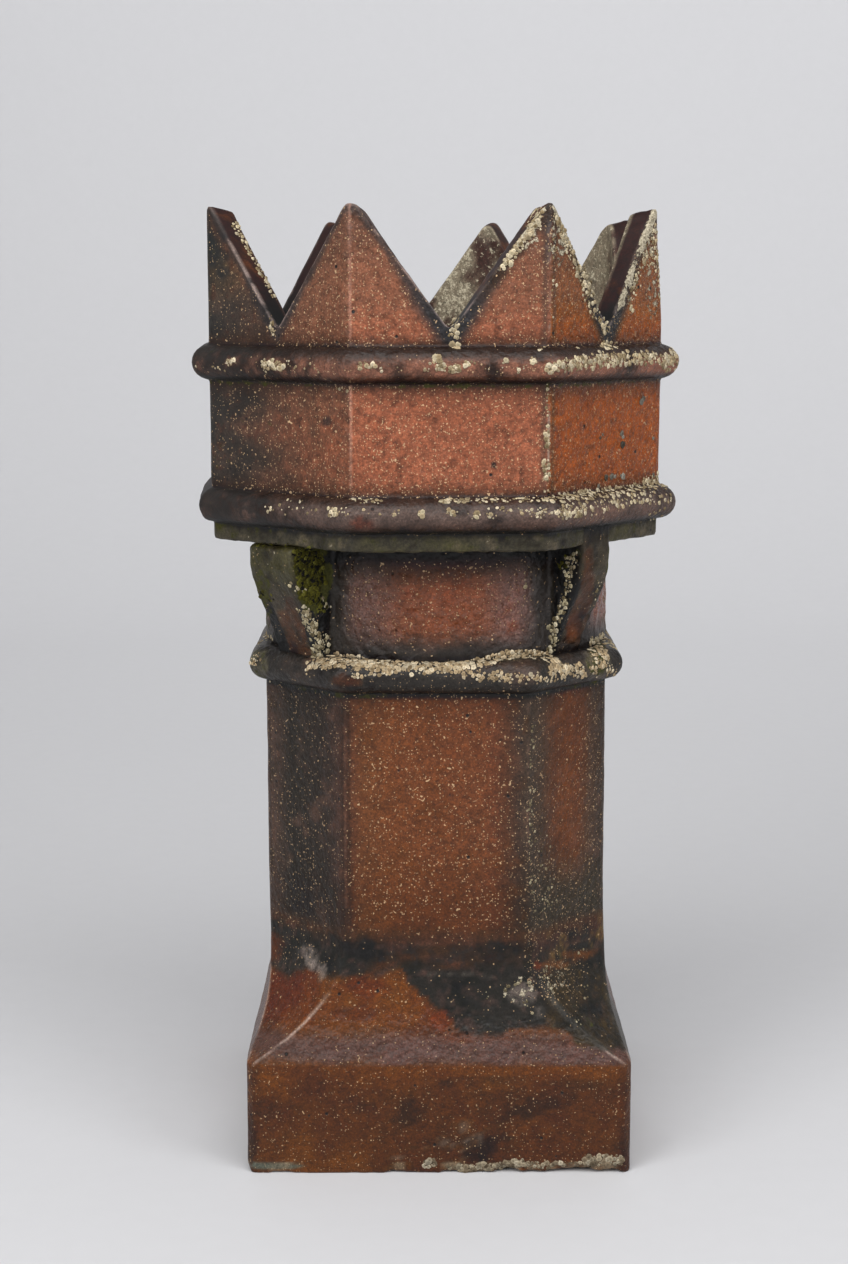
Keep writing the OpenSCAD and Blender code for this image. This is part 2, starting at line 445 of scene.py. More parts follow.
def shoulderSoot(points, seen, noises, front):
    # the soot's own tones: browner low down, streaked where it was rubbed off, olive on the right
    look = shoulderPaint
    z = points[..., 2]
    seenX, seenZ = seen
    middle, fine = noises[1:]
    frayed = layeredNoise(points, 4.5, 44)
    browner = smoothStep(middle + 0.8 * fine + (z - 200) / 24
                         - 0.4 * smoothStep(-seenX, 60, 100), -0.2, 0.5)
    soot = blend(fill(look["soot"], points), look["sootBrown"], 0.85 * browner)
    soot = blend(soot, look["sootDust"], 0.6 * smoothStep(fine + 0.7 * frayed - 0.5 * middle, 0.15, 0.6))
    soot = blend(soot, look["sootBlack"], 0.7 * smoothStep(-middle - 0.5 * frayed, 0.1, 0.6))
    streak = line(seenZ - 207 - 0.3 * (seenX + 14) + 4 * middle, 0, 5.5) * band(seenX, -52, 22, 10)
    streak += 0.75 * line(seenZ - 197 - 0.1 * seenX + 5 * middle, 0, 4.5) * band(seenX, 8, 70, 12)
    streak += line(seenZ - 190 - 0.46 * (seenX - 112) + 3 * fine, 0, 3.2) * band(seenX, 108, 162, 5)
    soot = blend(soot, look["bareStreak"], 0.7 * np.clip(streak, 0, 1) * front)
    scratch = 0.4 * line(seenZ - 190 + 0.0016 * (seenX - 14) ** 2 + 4 * fine, 0, 1.3)
    scratch = scratch * band(seenX, -8, 62, 6)
    soot = blend(soot, look["scratch"], scratch * front)
    right = smoothStep(seenX, 108, 120) * front
    soot = blend(soot, look["amber"], 0.8 * right * smoothStep(frayed + 0.8 * middle, 0.0, 0.5))
    low = 1 - smoothStep(seenZ, 196, 210)
    soot = blend(soot, look["rightFoot"], 0.7 * right * low * smoothStep(middle + 0.5 * fine, -0.7, 0.1))
    return soot, 6 * middle + 5 * fine + 3 * frayed


def paintShoulder(tone, points, way, deep, turn, seen, noises):
    # the slopes, the soot that ran down over them, and the patches and worn hips on top of both
    look = shoulderPaint
    depth = shaftShape["side"]
    y, z = points[..., 1], points[..., 2]
    seenX, seenZ = seen
    broad, middle, fine = noises
    tone, low = paintSlopes(tone, points, noises)
    front = smoothStep(-y, 20, 60)
    soot, ragged = shoulderSoot(points, seen, noises, front)
    under = seenZ - np.interp(seenX, *zip(*look["sootFoot"])) + ragged
    crisp = smoothStep(under, -1.5, 3.5) * smoothStep(seenX, -30, -10)
    crisp = crisp + smoothStep(under, -5, 5) * smoothStep(-seenX, 5, 30)
    behind = smoothStep(z + 16 * middle + 22 * broad, 168, 190)
    sooty = low * np.clip(crisp * front + behind * (1 - front), 0, 1)
    tone = blend(tone, soot, sooty)
    tone = blend(tone, look["sootPatch"], 0.75 * frontPatches(points, depth, look["sootPatches"]))
    tone = blend(tone, look["brownPatch"], frontPatches(points, depth, look["brownPatches"]))
    tone = blend(tone, look["redPatch"], frontPatches(points, depth, look["redPatches"]))
    pale = frontPatches(points, depth, look["palePatches"]) * smoothStep(fine, -0.9, 0.2)
    tone = blend(tone, look["palePatch"], pale)
    # clay worn pale along the hips, with a painted highlight in the same pale tone, bluish where soot lies
    # over them on the right
    hip = band(z, form["baseHeight"], 182, 5) * (deep < 0.5)
    worn = 0.8 * hip * (1 - smoothStep(way + 1.2 * fine, 0.6, 3.0)) * (1 - sooty)
    tone = blend(tone, look["wornHipAndHighlight"], worn * smoothStep(middle + 0.6 * fine, -0.7, 0.0))
    broader = (1 - smoothStep(way, 2, 8)) * hip * sooty * smoothStep(turn, 20, 30)
    tone = blend(tone, look["sootyHip"], 0.6 * broader * smoothStep(fine, -0.8, 0.1))
    return tone, sooty


def paintBase(tone, points, way, noises):
    # mottled brown, more amber at the top edge, dark along the upright edges, chipped at the foot
    look = basePaint
    z = points[..., 2]
    depth = 180
    broad, middle, fine = noises
    base = 1 - smoothStep(z + 1.2 * fine, 104, 108.5)
    umber = smoothStep(broad + 0.9 * middle + 0.5 * fine, 0.0, 1.0)
    brown = blend(fill(look["band"], points), look["umber"], 0.9 * umber)
    brown = blend(brown, look["amber"], 0.85 * smoothStep(z + 18 * middle, 74, 104))
    brown = blend(brown, look["tan"], 0.6 * smoothStep(-broad + middle, 0.1, 0.8))
    corner = 0.4 * (1 - smoothStep(way + 2 * fine, 1, 9)) * smoothStep(middle, -0.5, 0.3)
    tone = blend(tone, blend(brown, look["cornerDark"], corner), base)
    smudge = frontPatches(points, depth, look["smudges"]) * smoothStep(fine + 0.6 * middle, -0.8, 0.15)
    tone = blend(tone, look["smudge"], smudge)
    tone = blend(tone, look["scuff"],
                 frontPatches(points, depth, look["scuffs"]) * smoothStep(fine, -0.1, 0.5))
    tone = blend(tone, look["damp"], frontPatches(points, depth, look["dampPatches"]))
    chipped = (z < 11) * smoothStep(chipHeight(points - (1, 0, 0) * leanAt(points[..., 2:3])), 0.8, 2.2)
    return blend(tone, look["chip"], 0.8 * chipped * smoothStep(fine, -0.5, 0.2))


def paintShaftRoll(tone, points, away, noises):
    # the roll, filmed with green at its ends, with painted shade in the crease under it and on the shelf
    # above it
    look = shaftRollPaint
    depth = shaftShape["side"]
    z = points[..., 2]
    broad, middle, fine = noises
    roll = smoothStep(z + 1.2 * middle, 454, 459)
    brown = 0.75 * smoothStep(broad + middle + 0.6 * fine, 0.0, 0.9)
    rollTone = blend(fill(look["roll"], points), look["rollBrown"], brown)
    rollTone = blend(rollTone, look["rollSoot"], 0.7 * smoothStep(-middle - fine, 0.1, 0.8))
    filmy = frontPatches(points, depth, look["filmPatches"]) + 0.4 * smoothStep(points[..., 1], 0, 80)
    filmy = 0.8 * np.clip(filmy, 0, 1) * smoothStep(fine + 0.5 * middle, -0.4, 0.4)
    rollTone = blend(rollTone, look["film"], filmy)
    tone = blend(tone, rollTone, roll * (1 - 0.6 * frontPatch(points, depth, -76, 470, 16, 6, 0.5, 9, 4)))
    # painted shade in the crease under the roll
    tone = blend(tone, look["creaseShade"], 0.85 * line(z, 456.5, 3.4))
    # painted shade on the shelf
    return blend(tone, look["shelf"], 0.6 * smoothStep(z, 486, 490) * (away < 178)), roll


def paintShaft(points, way, deep):
    look = shaftPaint
    depth = shaftShape["side"]
    axisX = form["shaftX"] + leanAt(points[..., 2])
    x, y, z = points[..., 0] - axisX, points[..., 1], points[..., 2]
    turn = np.degrees(np.arctan2(x, -y))
    noises = [layeredNoise(points, size, seed) for size, seed in ((90, 41), (30, 42), (9, 43))]
    broad, middle, fine = noises
    seen = fromFront(points, depth)
    side = np.round(turn / 90)
    across = x * np.cos(np.radians(side * 90)) + y * np.sin(np.radians(side * 90))
    # warm panels on the flats pass by way of brown into sooty bevels
    warp = 4.5 * middle + 3 * fine
    tone = ramp(seen[0] - form["shaftX"] + warp, look["front"])
    others = ramp(np.abs(across) + 9 * broad + warp, look["sides"])
    tone = blend(tone, others, smoothStep(np.abs(turn) + 2 * middle, 60, 66))
    panel = 1 - smoothStep(np.abs(across) + 2 * warp, 70, 90)
    rightBevel = band(turn, 30, 62, 4)
    ashy = 0.75 * (1 - panel) * (1 - rightBevel) * smoothStep(-fine - 0.6 * middle, 0.0, 0.8)
    tone = blend(tone, look["bevelOlive"], 0.9 * rightBevel * (1 - smoothStep(z + 10 * middle, 255, 305)))
    tone = blend(tone, look["bevelAsh"], ashy)
    tone = blend(tone, look["bevelBrown"], 0.5 * (1 - panel) * smoothStep(fine + 0.8 * middle, 0.15, 0.8))
    tone = blend(tone, look["panelRed"], 0.5 * panel * smoothStep(middle + 0.8 * fine, 0.1, 0.9))
    tone = blend(tone, look["panelTan"], 0.35 * panel * smoothStep(-middle - fine, 0.1, 0.9))
    # darker low on the shaft, and painted shade just under the roll at its top
    tone = tone * (1 - 0.14 * (1 - smoothStep(z, 250, 310)) - 0.08 * smoothStep(z, 420, 452))[..., None]
    tone = blend(tone, look["foot"], 0.9 * (1 - smoothStep(z + 5 * middle + 3 * fine, 219, 238)))
    tone, sooty = paintShoulder(tone, points, way, deep, turn, seen, noises)
    arris = (1 - smoothStep(way, 0.4, 2.2)) * band(z, 240, 450, 8)
    tone = blend(tone, look["rubbedArris"], 0.4 * arris * smoothStep(fine, -0.4, 0.4))
    tone = blend(tone, look["besideArris"], 0.5 * line(way, 3.5, 2.0) * band(z, 236, 452, 8) * (turn < 0))
    tone = paintBase(tone, points, way, noises)
    tone, roll = paintShaftRoll(tone, points, np.hypot(x, y), noises)
    tone = tone * (1 + 0.12 * middle + 0.12 * fine)[..., None]
    tone = np.where((deep > 0.4)[..., None], hexTone(look["inside"]) * (1 + 0.2 * middle[..., None]), tone)
    speck = 0.6 * panel + 0.34 * (1 - panel)
    speck = np.where(z < 240, 0.32 - 0.14 * band(z, 108, 150, 10), speck) * (1 - 0.75 * sooty)
    speck = np.maximum(speck, frontPatches(points, depth, look["speckPatches"])) - 0.3 * roll
    crust = frontPatches(points, depth, look["crustPatches"]) + 0.2 * roll * smoothStep(broad, 0.1, 0.6)
    moss = frontPatches(points, depth, look["mossPatches"])
    moss = moss + 0.4 * line(z, 456, 3) * smoothStep(broad + 0.3, -0.1, 0.3)
    soot = 0.4 * sooty + 0.32 * (1 - panel) * band(z, 238, 452, 6) * (1 - rightBevel)
    gloss = 0.5 + 0.25 * band(z, 106, 150, 12) - 0.15 * sooty
    return {"tone": tone, "speck": speck, "crust": crust, "moss": moss, "soot": soot, "gloss": gloss}


neckShape = {
    "drum": 168.0, "drumWall": 25.0, "drumRise": 110.0, "headDrop": 21.0, "taper": 37.0, "columns": 640,
    # turn from the front, width, reach at the head, and whether the bracket runs up over the lip
    "brackets": [(-45, 59, 217, False), (45, 38, 208, True), (135, 50, 212, False), (-135, 50, 212, False)],
}
drumTopZ = crownZ + neckShape["drumRise"]


def neckRadius(angles, z):
    shape = neckShape
    radius = np.broadcast_to(shape["drum"], np.broadcast(angles, z).shape)
    t = np.clip((z - shelfZ) / (crownZ - shape["headDrop"] - shelfZ), 0, 1)
    for turn, width, reach, overLip in shape["brackets"]:
        off = np.angle(np.exp(1j * (angles - math.radians(turn))))
        near = np.abs(off) < 1.2
        face = reach - shape["taper"] * (1 - 0.7 * t - 0.3 * t * t * (3 - 2 * t))
        face = np.where(z > (lowerRollZ if overLip else crownZ + 1), crownShape["flat"] - 12, face)
        flank = width / 2 / np.maximum(np.abs(np.sin(off)), 1e-3)
        block = np.where(near, softLeast(face / np.cos(np.where(near, off, 0)), flank, 2.2), 0)
        radius = softMost(radius, block, 1.8)
    return radius


def makeNeck():
    shape = neckShape
    low = shaftRollZ - 6
    outer = steps(low, crownZ + 6, 2.4) + steps(crownZ + 14, drumTopZ - 2, 9)
    dense = np.linspace(-math.pi, math.pi, 14401)
    radius = neckRadius(dense, crownZ - 20)
    way = np.hypot(np.diff(radius * np.sin(dense)), np.diff(radius * np.cos(dense)))
    along = np.concatenate([[0], np.cumsum(way)])
    angles = np.interp(np.linspace(0, along[-1], shape["columns"], endpoint=False), along, dense)
    bore = shape["drum"] - shape["drumWall"]
    rest = [(drumTopZ, shape["drum"] - 3), (drumTopZ, shape["drum"] - 12), (drumTopZ, bore + 3)]
    rest += [(z, bore) for z in steps(drumTopZ - 3, low, 12)]
    z, r = columnsOf(rest)
    z = np.vstack([np.array(outer)[:, None], z])
    radius = np.vstack([neckRadius(angles, z[:len(outer)]), np.broadcast_to(r, (len(r), len(angles)))])
    points = placed(angles, radius, z, form["shaftX"] + shaftShape["lean"])
    points = handMade(relaxed(points, 2), 0.8, 45, 14)
    # ragged edges on the brackets, where growths have eaten at the clay, and wrinkled glaze on the drum
    x, y = points[..., 0] - form["shaftX"], points[..., 1]
    proud = smoothStep(np.hypot(x, y), 186, 200)
    wrinkled = 0.9 * (clayNoise(points, 5.5, 16) + 0.8 * clayNoise(points, 9, 17))
    wrinkled *= 1 - smoothStep(points[..., 2], crownZ - 34, crownZ - 14)
    rough = proud * 0.9 * clayNoise(points, 6, 15) + (1 - proud) * wrinkled
    return insideBox(points + surfaceNormals(points) * rough[..., None])


neckPaint = {
    # the drum's sheen tones are painted sheen; its edge tone is soot and painted shade
    "centre": "#824c36", "paintedSheen": "#785a53", "burnt": "#63301f", "paleSheen": "#84645c", "edge": "#3a3634",
    "bracket": "#423c32", "bracketAsh": "#4f473c", "bracketSoot": "#231f1a", "ember": "#4b2d20",
    # the shade tone is painted shade and soot
    "bare": "#6a3d22", "olive": "#45442a", "flank": "#1d1b14", "shade": "#1f1a16",
    # x, z, half width, half height and how strong, seen from the front
    "emberPatches": [(-122, 512, 19, 36, 0.7), (133, 512, 9, 34, 1.0), (127, 501, 10, 12, 0.8),
                     (145, 565, 6, 34, 0.8), (139, 536, 8, 20, 0.8)],
    "barePatches": [(131, 505, 6, 26, 0.9), (127, 495, 9, 11, 0.85)],
    "mossPatches": [(-103, 566, 18, 34, 1.0), (-150, 545, 10, 40, 0.55), (168, 550, 9, 50, 0.55)],
}


def paintDrum(points, between, noises):
    # glaze warm in the middle of each vent, with a painted sheen to either side, and dark at the edges from
    # soot and painted shade
    look = neckPaint
    z = points[..., 2]
    middle, fine = noises[1:]
    # 1 in the middle of each vent, falling to 0 at its edges and foot, dark there from soot and painted
    # shade
    clearOfSootAndShade = 1 - smoothStep(between + 4 * middle + 2 * fine, 25, 35)
    clearOfSootAndShade = clearOfSootAndShade * smoothStep(z + 5 * middle + 3 * fine, 495, 520)
    # painted sheen to either side of the middle
    sheenToSides = 0.9 * smoothStep(between + 6 * middle + 3 * fine, 9, 23)
    warm = blend(fill(look["centre"], points), look["paintedSheen"], sheenToSides)
    warm = blend(warm, look["burnt"], 0.6 * smoothStep(middle + 0.8 * fine, 0.1, 0.8))
    pale = 0.6 * smoothStep(-middle - 0.8 * fine, 0.1, 0.8) * smoothStep(between, 6, 20)
    # paler painted sheen in patches
    warm = blend(warm, look["paleSheen"], pale)
    return blend(fill(look["edge"], points), warm, clearOfSootAndShade), clearOfSootAndShade


def paintBrackets(points, x, red, noises):
    look = neckPaint
    z = points[..., 2]
    middle, fine = noises[1:]
    block = blend(fill(look["bracket"], points), look["bracketAsh"],
                  0.8 * smoothStep(middle + fine, -0.1, 0.8))
    block = blend(block, look["bracketSoot"], 0.8 * smoothStep(-middle - fine, 0.0, 0.8))
    block = blend(block, look["ember"],
                  0.9 * np.clip(red, 0, 1) * smoothStep(fine + 0.4 * middle, -0.8, 0.1))
    block = blend(block, look["bare"], frontPatches(points, 185, look["barePatches"]))
    return blend(block, look["olive"],
                 0.55 * smoothStep(z, 540, 575) * smoothStep(middle + 0.3 - x / 300, 0.2, 0.7))


def paintNeck(points):
    look = neckPaint
    drum = neckShape["drum"]
    x, y, z = points[..., 0] - form["shaftX"], points[..., 1], points[..., 2]
    turn = turnOf(points, form["shaftX"])
    away = np.hypot(x, y)
    noises = [layeredNoise(points, size, seed) for size, seed in ((80, 51), (26, 52), (8, 53))]
    broad, middle, fine = noises
    between = np.abs(wrapTurn(turn - 90 * np.round(turn / 90)))       # 0 in the middle of a vent
    tone, clearOfSootAndShade = paintDrum(points, between, noises)
    proud = smoothStep(away, drum + 2, drum + 8)
    red = frontPatches(points, 185, look["emberPatches"]) + 0.7 * smoothStep(broad, 0.1, 0.5) * (y > -60)
    tone = blend(tone, paintBrackets(points, x, red, noises), proud)
    flank = band(away, 171, 204, 5) * (between < 40)
    tone = blend(tone, look["flank"], 0.9 * flank)
    # painted shade and soot at the top of each vent under the lip
    tone = blend(tone, look["shade"], (0.94 * smoothStep(z + 4 * middle, 554, 588)) * (away < 184))
    # the bore and the drum above the lip painted dark: soot and painted shade
    tone = blend(tone, look["shade"], 0.9 * ((away < drum - 8) | (z > crownZ + 8)))
    # painted shade in the crease at the drum's foot
    tone = blend(tone, look["shade"], 0.7 * line(z, 491, 3.5) * (away < 176))
    tone = tone * (1 + 0.16 * middle + 0.10 * fine)[..., None]
    speck = 0.12 + 0.36 * clearOfSootAndShade * band(z, 504, 578, 6)
    moss = frontPatches(points, 180, look["mossPatches"])
    moss = moss + 0.25 * proud * smoothStep(z, 545, 585) * smoothStep(middle, -0.3, 0.4)
    crust = 0.2 * proud * smoothStep(broad + middle, 0.2, 0.8)
    crust = crust + 0.3 * band(away, 200, 230, 4) * smoothStep(fine, 0, 0.6)
    soot = 0.3 * (1 - clearOfSootAndShade) * (1 - np.clip(red, 0, 1))
    gloss = 0.45 + 0.5 * clearOfSootAndShade * (1 - smoothStep(z, 556, 582))
    return {"tone": tone, "speck": speck, "crust": crust, "moss": moss, "soot": soot, "gloss": gloss}


crownShape = {
    "flat": 212.0, "wall": 22.0, "twist": 4.9, "lipSetIn": 2.0, "perFace": 77, "cutFall": 5.0, "sag": 6.0,
    "pressedIn": 4.2, "pressedDown": 4,
    # each point from the front right round by the right: how far it falls short, and how blunt it is
    "short": [0.0, 0.5, 4.0, 2.5, 2.0, 4.0, 0.0, 2.5],
    "blunt": [3.2, 2.0, 3.4, 2.2, 2.0, 2.6, 1.4, 1.6],
}


def cutHeight(angles, flat):
    # height of the V cut's edge on a wall that stands flat from the axis
    turn = (np.degrees(angles) - crownShape["twist"]) % 360
    face = np.round(turn / 45)
    across = flat * np.tan(np.radians(turn - 45 * face))
    point = (turn // 45).astype(int) % 8
    slope = form["notchDepth"] / (crownShape["flat"] * math.tan(math.pi / 8) - 4.5)
    z = notchZ + slope * np.sqrt(across ** 2 + 7)
    top = topZ + 1.5 - np.array(crownShape["short"])[point]
    return softLeast(z, top, np.array(crownShape["blunt"])[point])


def makeCrown():
    shape = crownShape
    flat, wall, twist = shape["flat"], shape["wall"], shape["twist"]
    lip = flat - shape["lipSetIn"]
    rows = [(crownZ, flat - wall + t, flat - wall + t) for t in (4, 10, 16)]
    rows += [(z, lip, lip) for z in steps(crownZ + 0.6, lowerRollZ - form["rollRadius"], 2.7)]
    rows += rollRows(lowerRollZ, flat, flat)
    rows += [(z, flat, flat)
             for z in steps(lowerRollZ + form["rollRadius"] + 2, upperRollZ - form["rollRadius"] - 2, 2.8)]
    rows += rollRows(upperRollZ, flat, flat)
    z, sides, corners = columnsOf(rows)
    angles, way = octagonColumns(np.array([[flat]]), np.array([[flat]]), twist, shape["perFace"],
                                 shape["perFace"])
    soften = 1.1 + 0.5 * clayNoise(placed(angles, sides, z), 30, 21)
    lower = placed(angles, eightSided(angles, sides, corners, twist, soften), z)
    outerR = eightSided(angles, flat, flat, twist, 1.1)
    innerR = eightSided(angles, flat - wall, flat - wall, twist, 2.6)
    outerZ = cutHeight(angles, flat)
    # the cuts fall a little toward the inside, most at the points
    innerZ = outerZ - shape["cutFall"] * smoothStep(outerZ, notchZ, topZ)
    rim = upperRollZ + form["rollRadius"] + 2
    upper = [placed(angles, outerR, rim + (outerZ - rim) * t) for t in np.linspace(0, 1, 40)]
    cut = [placed(angles, outerR + (innerR - outerR) * t, outerZ + (innerZ - outerZ) * t)
           for t in (0.2, 0.4, 0.6, 0.8)]
    inner = [placed(angles, innerR, innerZ + (crownZ - innerZ) * t) for t in np.linspace(0, 1, 34) ** 1.7]
    points = np.concatenate([lower, np.concatenate(upper + cut + inner)])
    part = np.repeat([0, 1, 2], [len(lower) + len(upper), len(cut), len(inner)])[:, None]
    points = handMade(relaxed(points, 2), 0.8, 55, 22)
    # chipped and eaten edges along the cuts and under the lip
    turn = turnOf(points)
    nearCut = points[..., 2] - rim > 0.86 * (cutHeight(np.radians(turn), flat) - rim)
    rough = (nearCut | (part == 1)) * (points[..., 2] > rim) * (0.5 + 0.9 * band(turn, 10, 130, 10))
    points[..., 2] -= 1.5 * rough * np.clip(0.3 + layeredNoise(points, 9, 23), 0, 1)
    points[..., 2] -= 0.8 * (points[..., 2] < crownZ + 3) * clayNoise(points, 7, 24)
    # the lower roll was pressed in on the left, and the right point has sagged inward
    pressed = band(turn, -136, -58, 8) * band(points[..., 2], lowerRollZ - 12, lowerRollZ + 16, 5)
    points[..., 0] += shape["pressedIn"] * pressed
    points[..., 2] -= shape["pressedDown"] * pressed * (1 - smoothStep(turn, -100, -75))
    points[..., 0] -= shape["sag"] * smoothStep(points[..., 2], 780, topZ) * band(turn, 54, 92, 8)
    way = np.broadcast_to(way, points.shape[:2])
    return insideBox(points), way, np.broadcast_to(part, way.shape)


crownPaint = {
    # one tone a face, from the front round by the right
    "faces": ["#925841", "#8f4a17", "#8e4a18", "#72402a", "#7c4a36", "#63412f", "#3a352e", "#764d3a"],
    "frontBlush": "#7d4935", "leftDust": "#5c4034", "rightBurn": "#6e331b", "freckle": "#4c2f25",
    "pointTan": "#77503e", "pointBrown": "#5f4438", "leeward": "#2c2f2f", "leftOlive": "#57432f",
    # painted shade beside the rolls and in their creases
    "leftClay": "#7b4b37", "shadeBesideRoll": "#3d2b23", "rollCreaseShade": "#26201d", "edgeSoot": "#2f2f31",
    # the pale edge tone is a painted highlight
    "cutEdgeHighlight": "#a8938a", "wornArris": "#b98a76", "arrisAsh": "#8f857a", "besideArris": "#4a3a33",
    "slate": "#4c4a4b", "stain": "#2c2626", "redMark": "#6b3225", "grime": "#352a23",
    # the deep tone is painted shadow at the bottoms of the notches, and also darkens the inner wall lower
    # down
    "cut": "#33251f", "cutClay": "#573526", "inner": "#43302b", "film": "#938a74", "deep": "#221c18",
    # x, z, half width, half height and how strong, seen from the front
    "slatePatches": [(104, 884, 4, 16, 1.0), (105, 858, 3, 14, 0.7)],
    "stains": [(-88, 710, 4.4, 4, 0.8), (56, 832, 3.5, 3.5, 1.0), (59, 672, 3, 4, 1.0),
               (-36, 640, 12, 6, 0.6)],
    "crustPatches": [(88, 880, 12, 26, 0.5), (115, 868, 10, 30, 0.5), (192, 872, 10, 30, 0.5),
                     (196, 830, 7, 40, 0.4), (178, 834, 8, 9, 0.55), (172, 815, 7, 8, 0.5)],
}

crownRollPaint = {
    # the ember tone is red clay and, on the upper roll, a painted sheen
    "ring": "#4a3932", "ringBlue": "#5f514b", "ringEmberAndSheen": "#8b5d4b", "ringSoot": "#2a2422",
    # the under tone is painted shade under each roll
    "ringTop": "#2b2726", "ringUnderShade": "#191512", "lip": "#423e34", "lipOlive": "#4a4630",
    # the seam tone is painted shade in the crease under the lower roll
    "lipCrust": "#6d614c", "lipSoot": "#211d18", "lipCreaseShade": "#120f0b",
}


def paintCrownWall(points, face, below, leeward, leftPoint, noises):
    look = crownPaint
    z = points[..., 2]
    broad, middle, fine = noises
    tone = np.array([hexTone(code) for code in look["faces"]])[face % 8]
    blush = 0.6 * smoothStep(broad + 0.5 * middle + 0.4 * fine, 0.0, 0.7) * np.isin(face, (0, -1))
    tone = blend(tone, look["frontBlush"], blush)
    tone = blend(tone, look["leftDust"], 0.55 * smoothStep(middle - 0.7 * fine, 0.1, 0.8) * (face == -1))
    tone = blend(tone, look["rightBurn"],
                 0.5 * smoothStep(middle + 0.4 * fine, 0.2, 0.8) * np.isin(face, (1, 2)))
    tone = blend(tone, look["pointTan"], 0.7 * smoothStep(z + 8 * middle, 782, 822))
    tone = blend(tone, look["pointBrown"], 0.7 * smoothStep(z + 8 * middle + 4 * fine, 826, 892))
    # soot thickens toward the left, and browner again up on the left point
    tone = blend(tone, look["leeward"], 0.97 * leeward)
    tone = blend(tone, look["leftOlive"], 0.75 * leftPoint * smoothStep(middle + 0.7 * fine, -0.4, 0.5))
    clay = 0.6 * leftPoint * smoothStep(12 - below, -6, 8) * smoothStep(fine, -0.8, 0.2)
    tone = blend(tone, look["leftClay"], clay)
    freckles = layeredNoise(points, 4.5, 65)
    return blend(tone, look["freckle"], 0.5 * smoothStep(freckles + 0.4 * middle, 0.25, 0.55))


def paintNotches(tone, z, below, deepNotch, outer, noises):
    # a dark band along each V, widest at the notches, with a thin painted highlight on the very edge
    look = crownPaint
    middle, fine = noises[1:]
    edge = 1 - smoothStep(below + 2.5 * middle + 1.5 * fine, 3 + 3 * deepNotch, 8 + 12 * deepNotch)
    edge = edge * (z > 777)
    tone = blend(tone, look["edgeSoot"], edge * (0.6 + 0.38 * deepNotch))
    # painted highlight along the cut's edge
    cutEdgeHighlight = (1 - smoothStep(below, 0.4, 2.6)) * (z > 792) * outer
    return blend(tone, look["cutEdgeHighlight"], 0.65 * cutEdgeHighlight * smoothStep(fine + 0.4 * middle, -0.5, 0.3)), edge


def paintCrownRolls(tone, points, ring, leeward, noises):
    # charcoal, with red clay showing low on the crest, brightened on the upper roll as a painted sheen, and
    # painted shade under each roll
    look = crownRollPaint
    z = points[..., 2]
    broad, middle, fine = noises
    upper = z > 700
    height = z - np.where(upper, upperRollZ, lowerRollZ)
    bluish = 0.8 * (~upper) * band(height, -6, 10, 5) * (1 - leeward)
    ringTone = blend(fill(look["ring"], points), look["ringBlue"], bluish)
    ember = smoothStep(broad + 0.8 * middle + 0.6 * upper, -0.2, 0.6)
    ember = ember * band(height + 3 * middle, -12, 5, 4) * (1 - leeward)
    # red clay, stronger on the upper roll as a painted sheen
    ringTone = blend(ringTone, look["ringEmberAndSheen"], 0.85 * ember * (0.3 + 0.7 * upper))
    sooty = 0.75 * smoothStep(-middle - 0.9 * fine + 0.7 * leeward, 0.1, 0.8)
    ringTone = blend(ringTone, look["ringSoot"], sooty)
    ringTone = blend(ringTone, look["ringTop"],
                     (0.35 + 0.35 * upper) * smoothStep(height + 3 * middle, 5, 13))
    # painted shade under the roll
    ringTone = blend(ringTone, look["ringUnderShade"], 0.8 * (1 - smoothStep(height, -15, -8)))
    return blend(tone, ringTone, ring), ember


def paintLip(tone, points, noises):
    look = crownRollPaint
    z = points[..., 2]
    middle, fine = noises[1:]
    lip = 1 - smoothStep(z, 609, 612)
    lipTone = blend(fill(look["lip"], points), look["lipOlive"],
                    0.8 * smoothStep(middle + 0.2 * fine, -0.1, 0.6))
    lipTone = blend(lipTone, look["lipCrust"], 0.6 * smoothStep(fine - 0.3 * middle, 0.1, 0.6))
    lipTone = blend(lipTone, look["lipSoot"], 0.7 * smoothStep(-fine - 0.5 * middle, 0.1, 0.7))
    tone = blend(tone, lipTone, lip)
    # painted shade in the crease under the lower roll
    return blend(tone, look["lipCreaseShade"], 0.85 * line(z, 610.5, 2.6)), lip


def paintCrownMarks(tone, points, turn, way, clear, leeward, outer, noises):
    # arrises: a thin pink line on the left of the front, an ashy one on the right; then marks and stains
    look = crownPaint
    flat = crownShape["flat"]
    middle, fine = noises[1:]
    worn = (1 - smoothStep(way + 0.5 * fine, 0.4, 2.2)) * clear
    pink = 0.55 * worn * (1 - leeward) * smoothStep(middle + fine, -0.7, 0.2) * (turn < 0)
    tone = blend(tone, look["wornArris"], pink)
    ash = (1 - smoothStep(way + 1.5 * fine, 0.5, 2.6)) * clear * band(turn, 22, 34, 2)
    tone = blend(tone, look["arrisAsh"], 0.75 * ash * smoothStep(middle + 1.2 * fine, -0.1, 0.5))
    tone = blend(tone, look["slate"], 0.8 * frontPatches(points, flat, look["slatePatches"]) * outer)
    tone = blend(tone, look["besideArris"], 0.6 * line(way, 5, 2.5) * clear * band(turn, 22, 34, 2))
    tone = blend(tone, look["stain"], 0.85 * frontPatches(points, flat, look["stains"]) * outer)
    return blend(tone, look["redMark"], 0.45 * frontPatch(points, 226, -57, 622, 14, 4, 0.8, 7, 3) * outer)


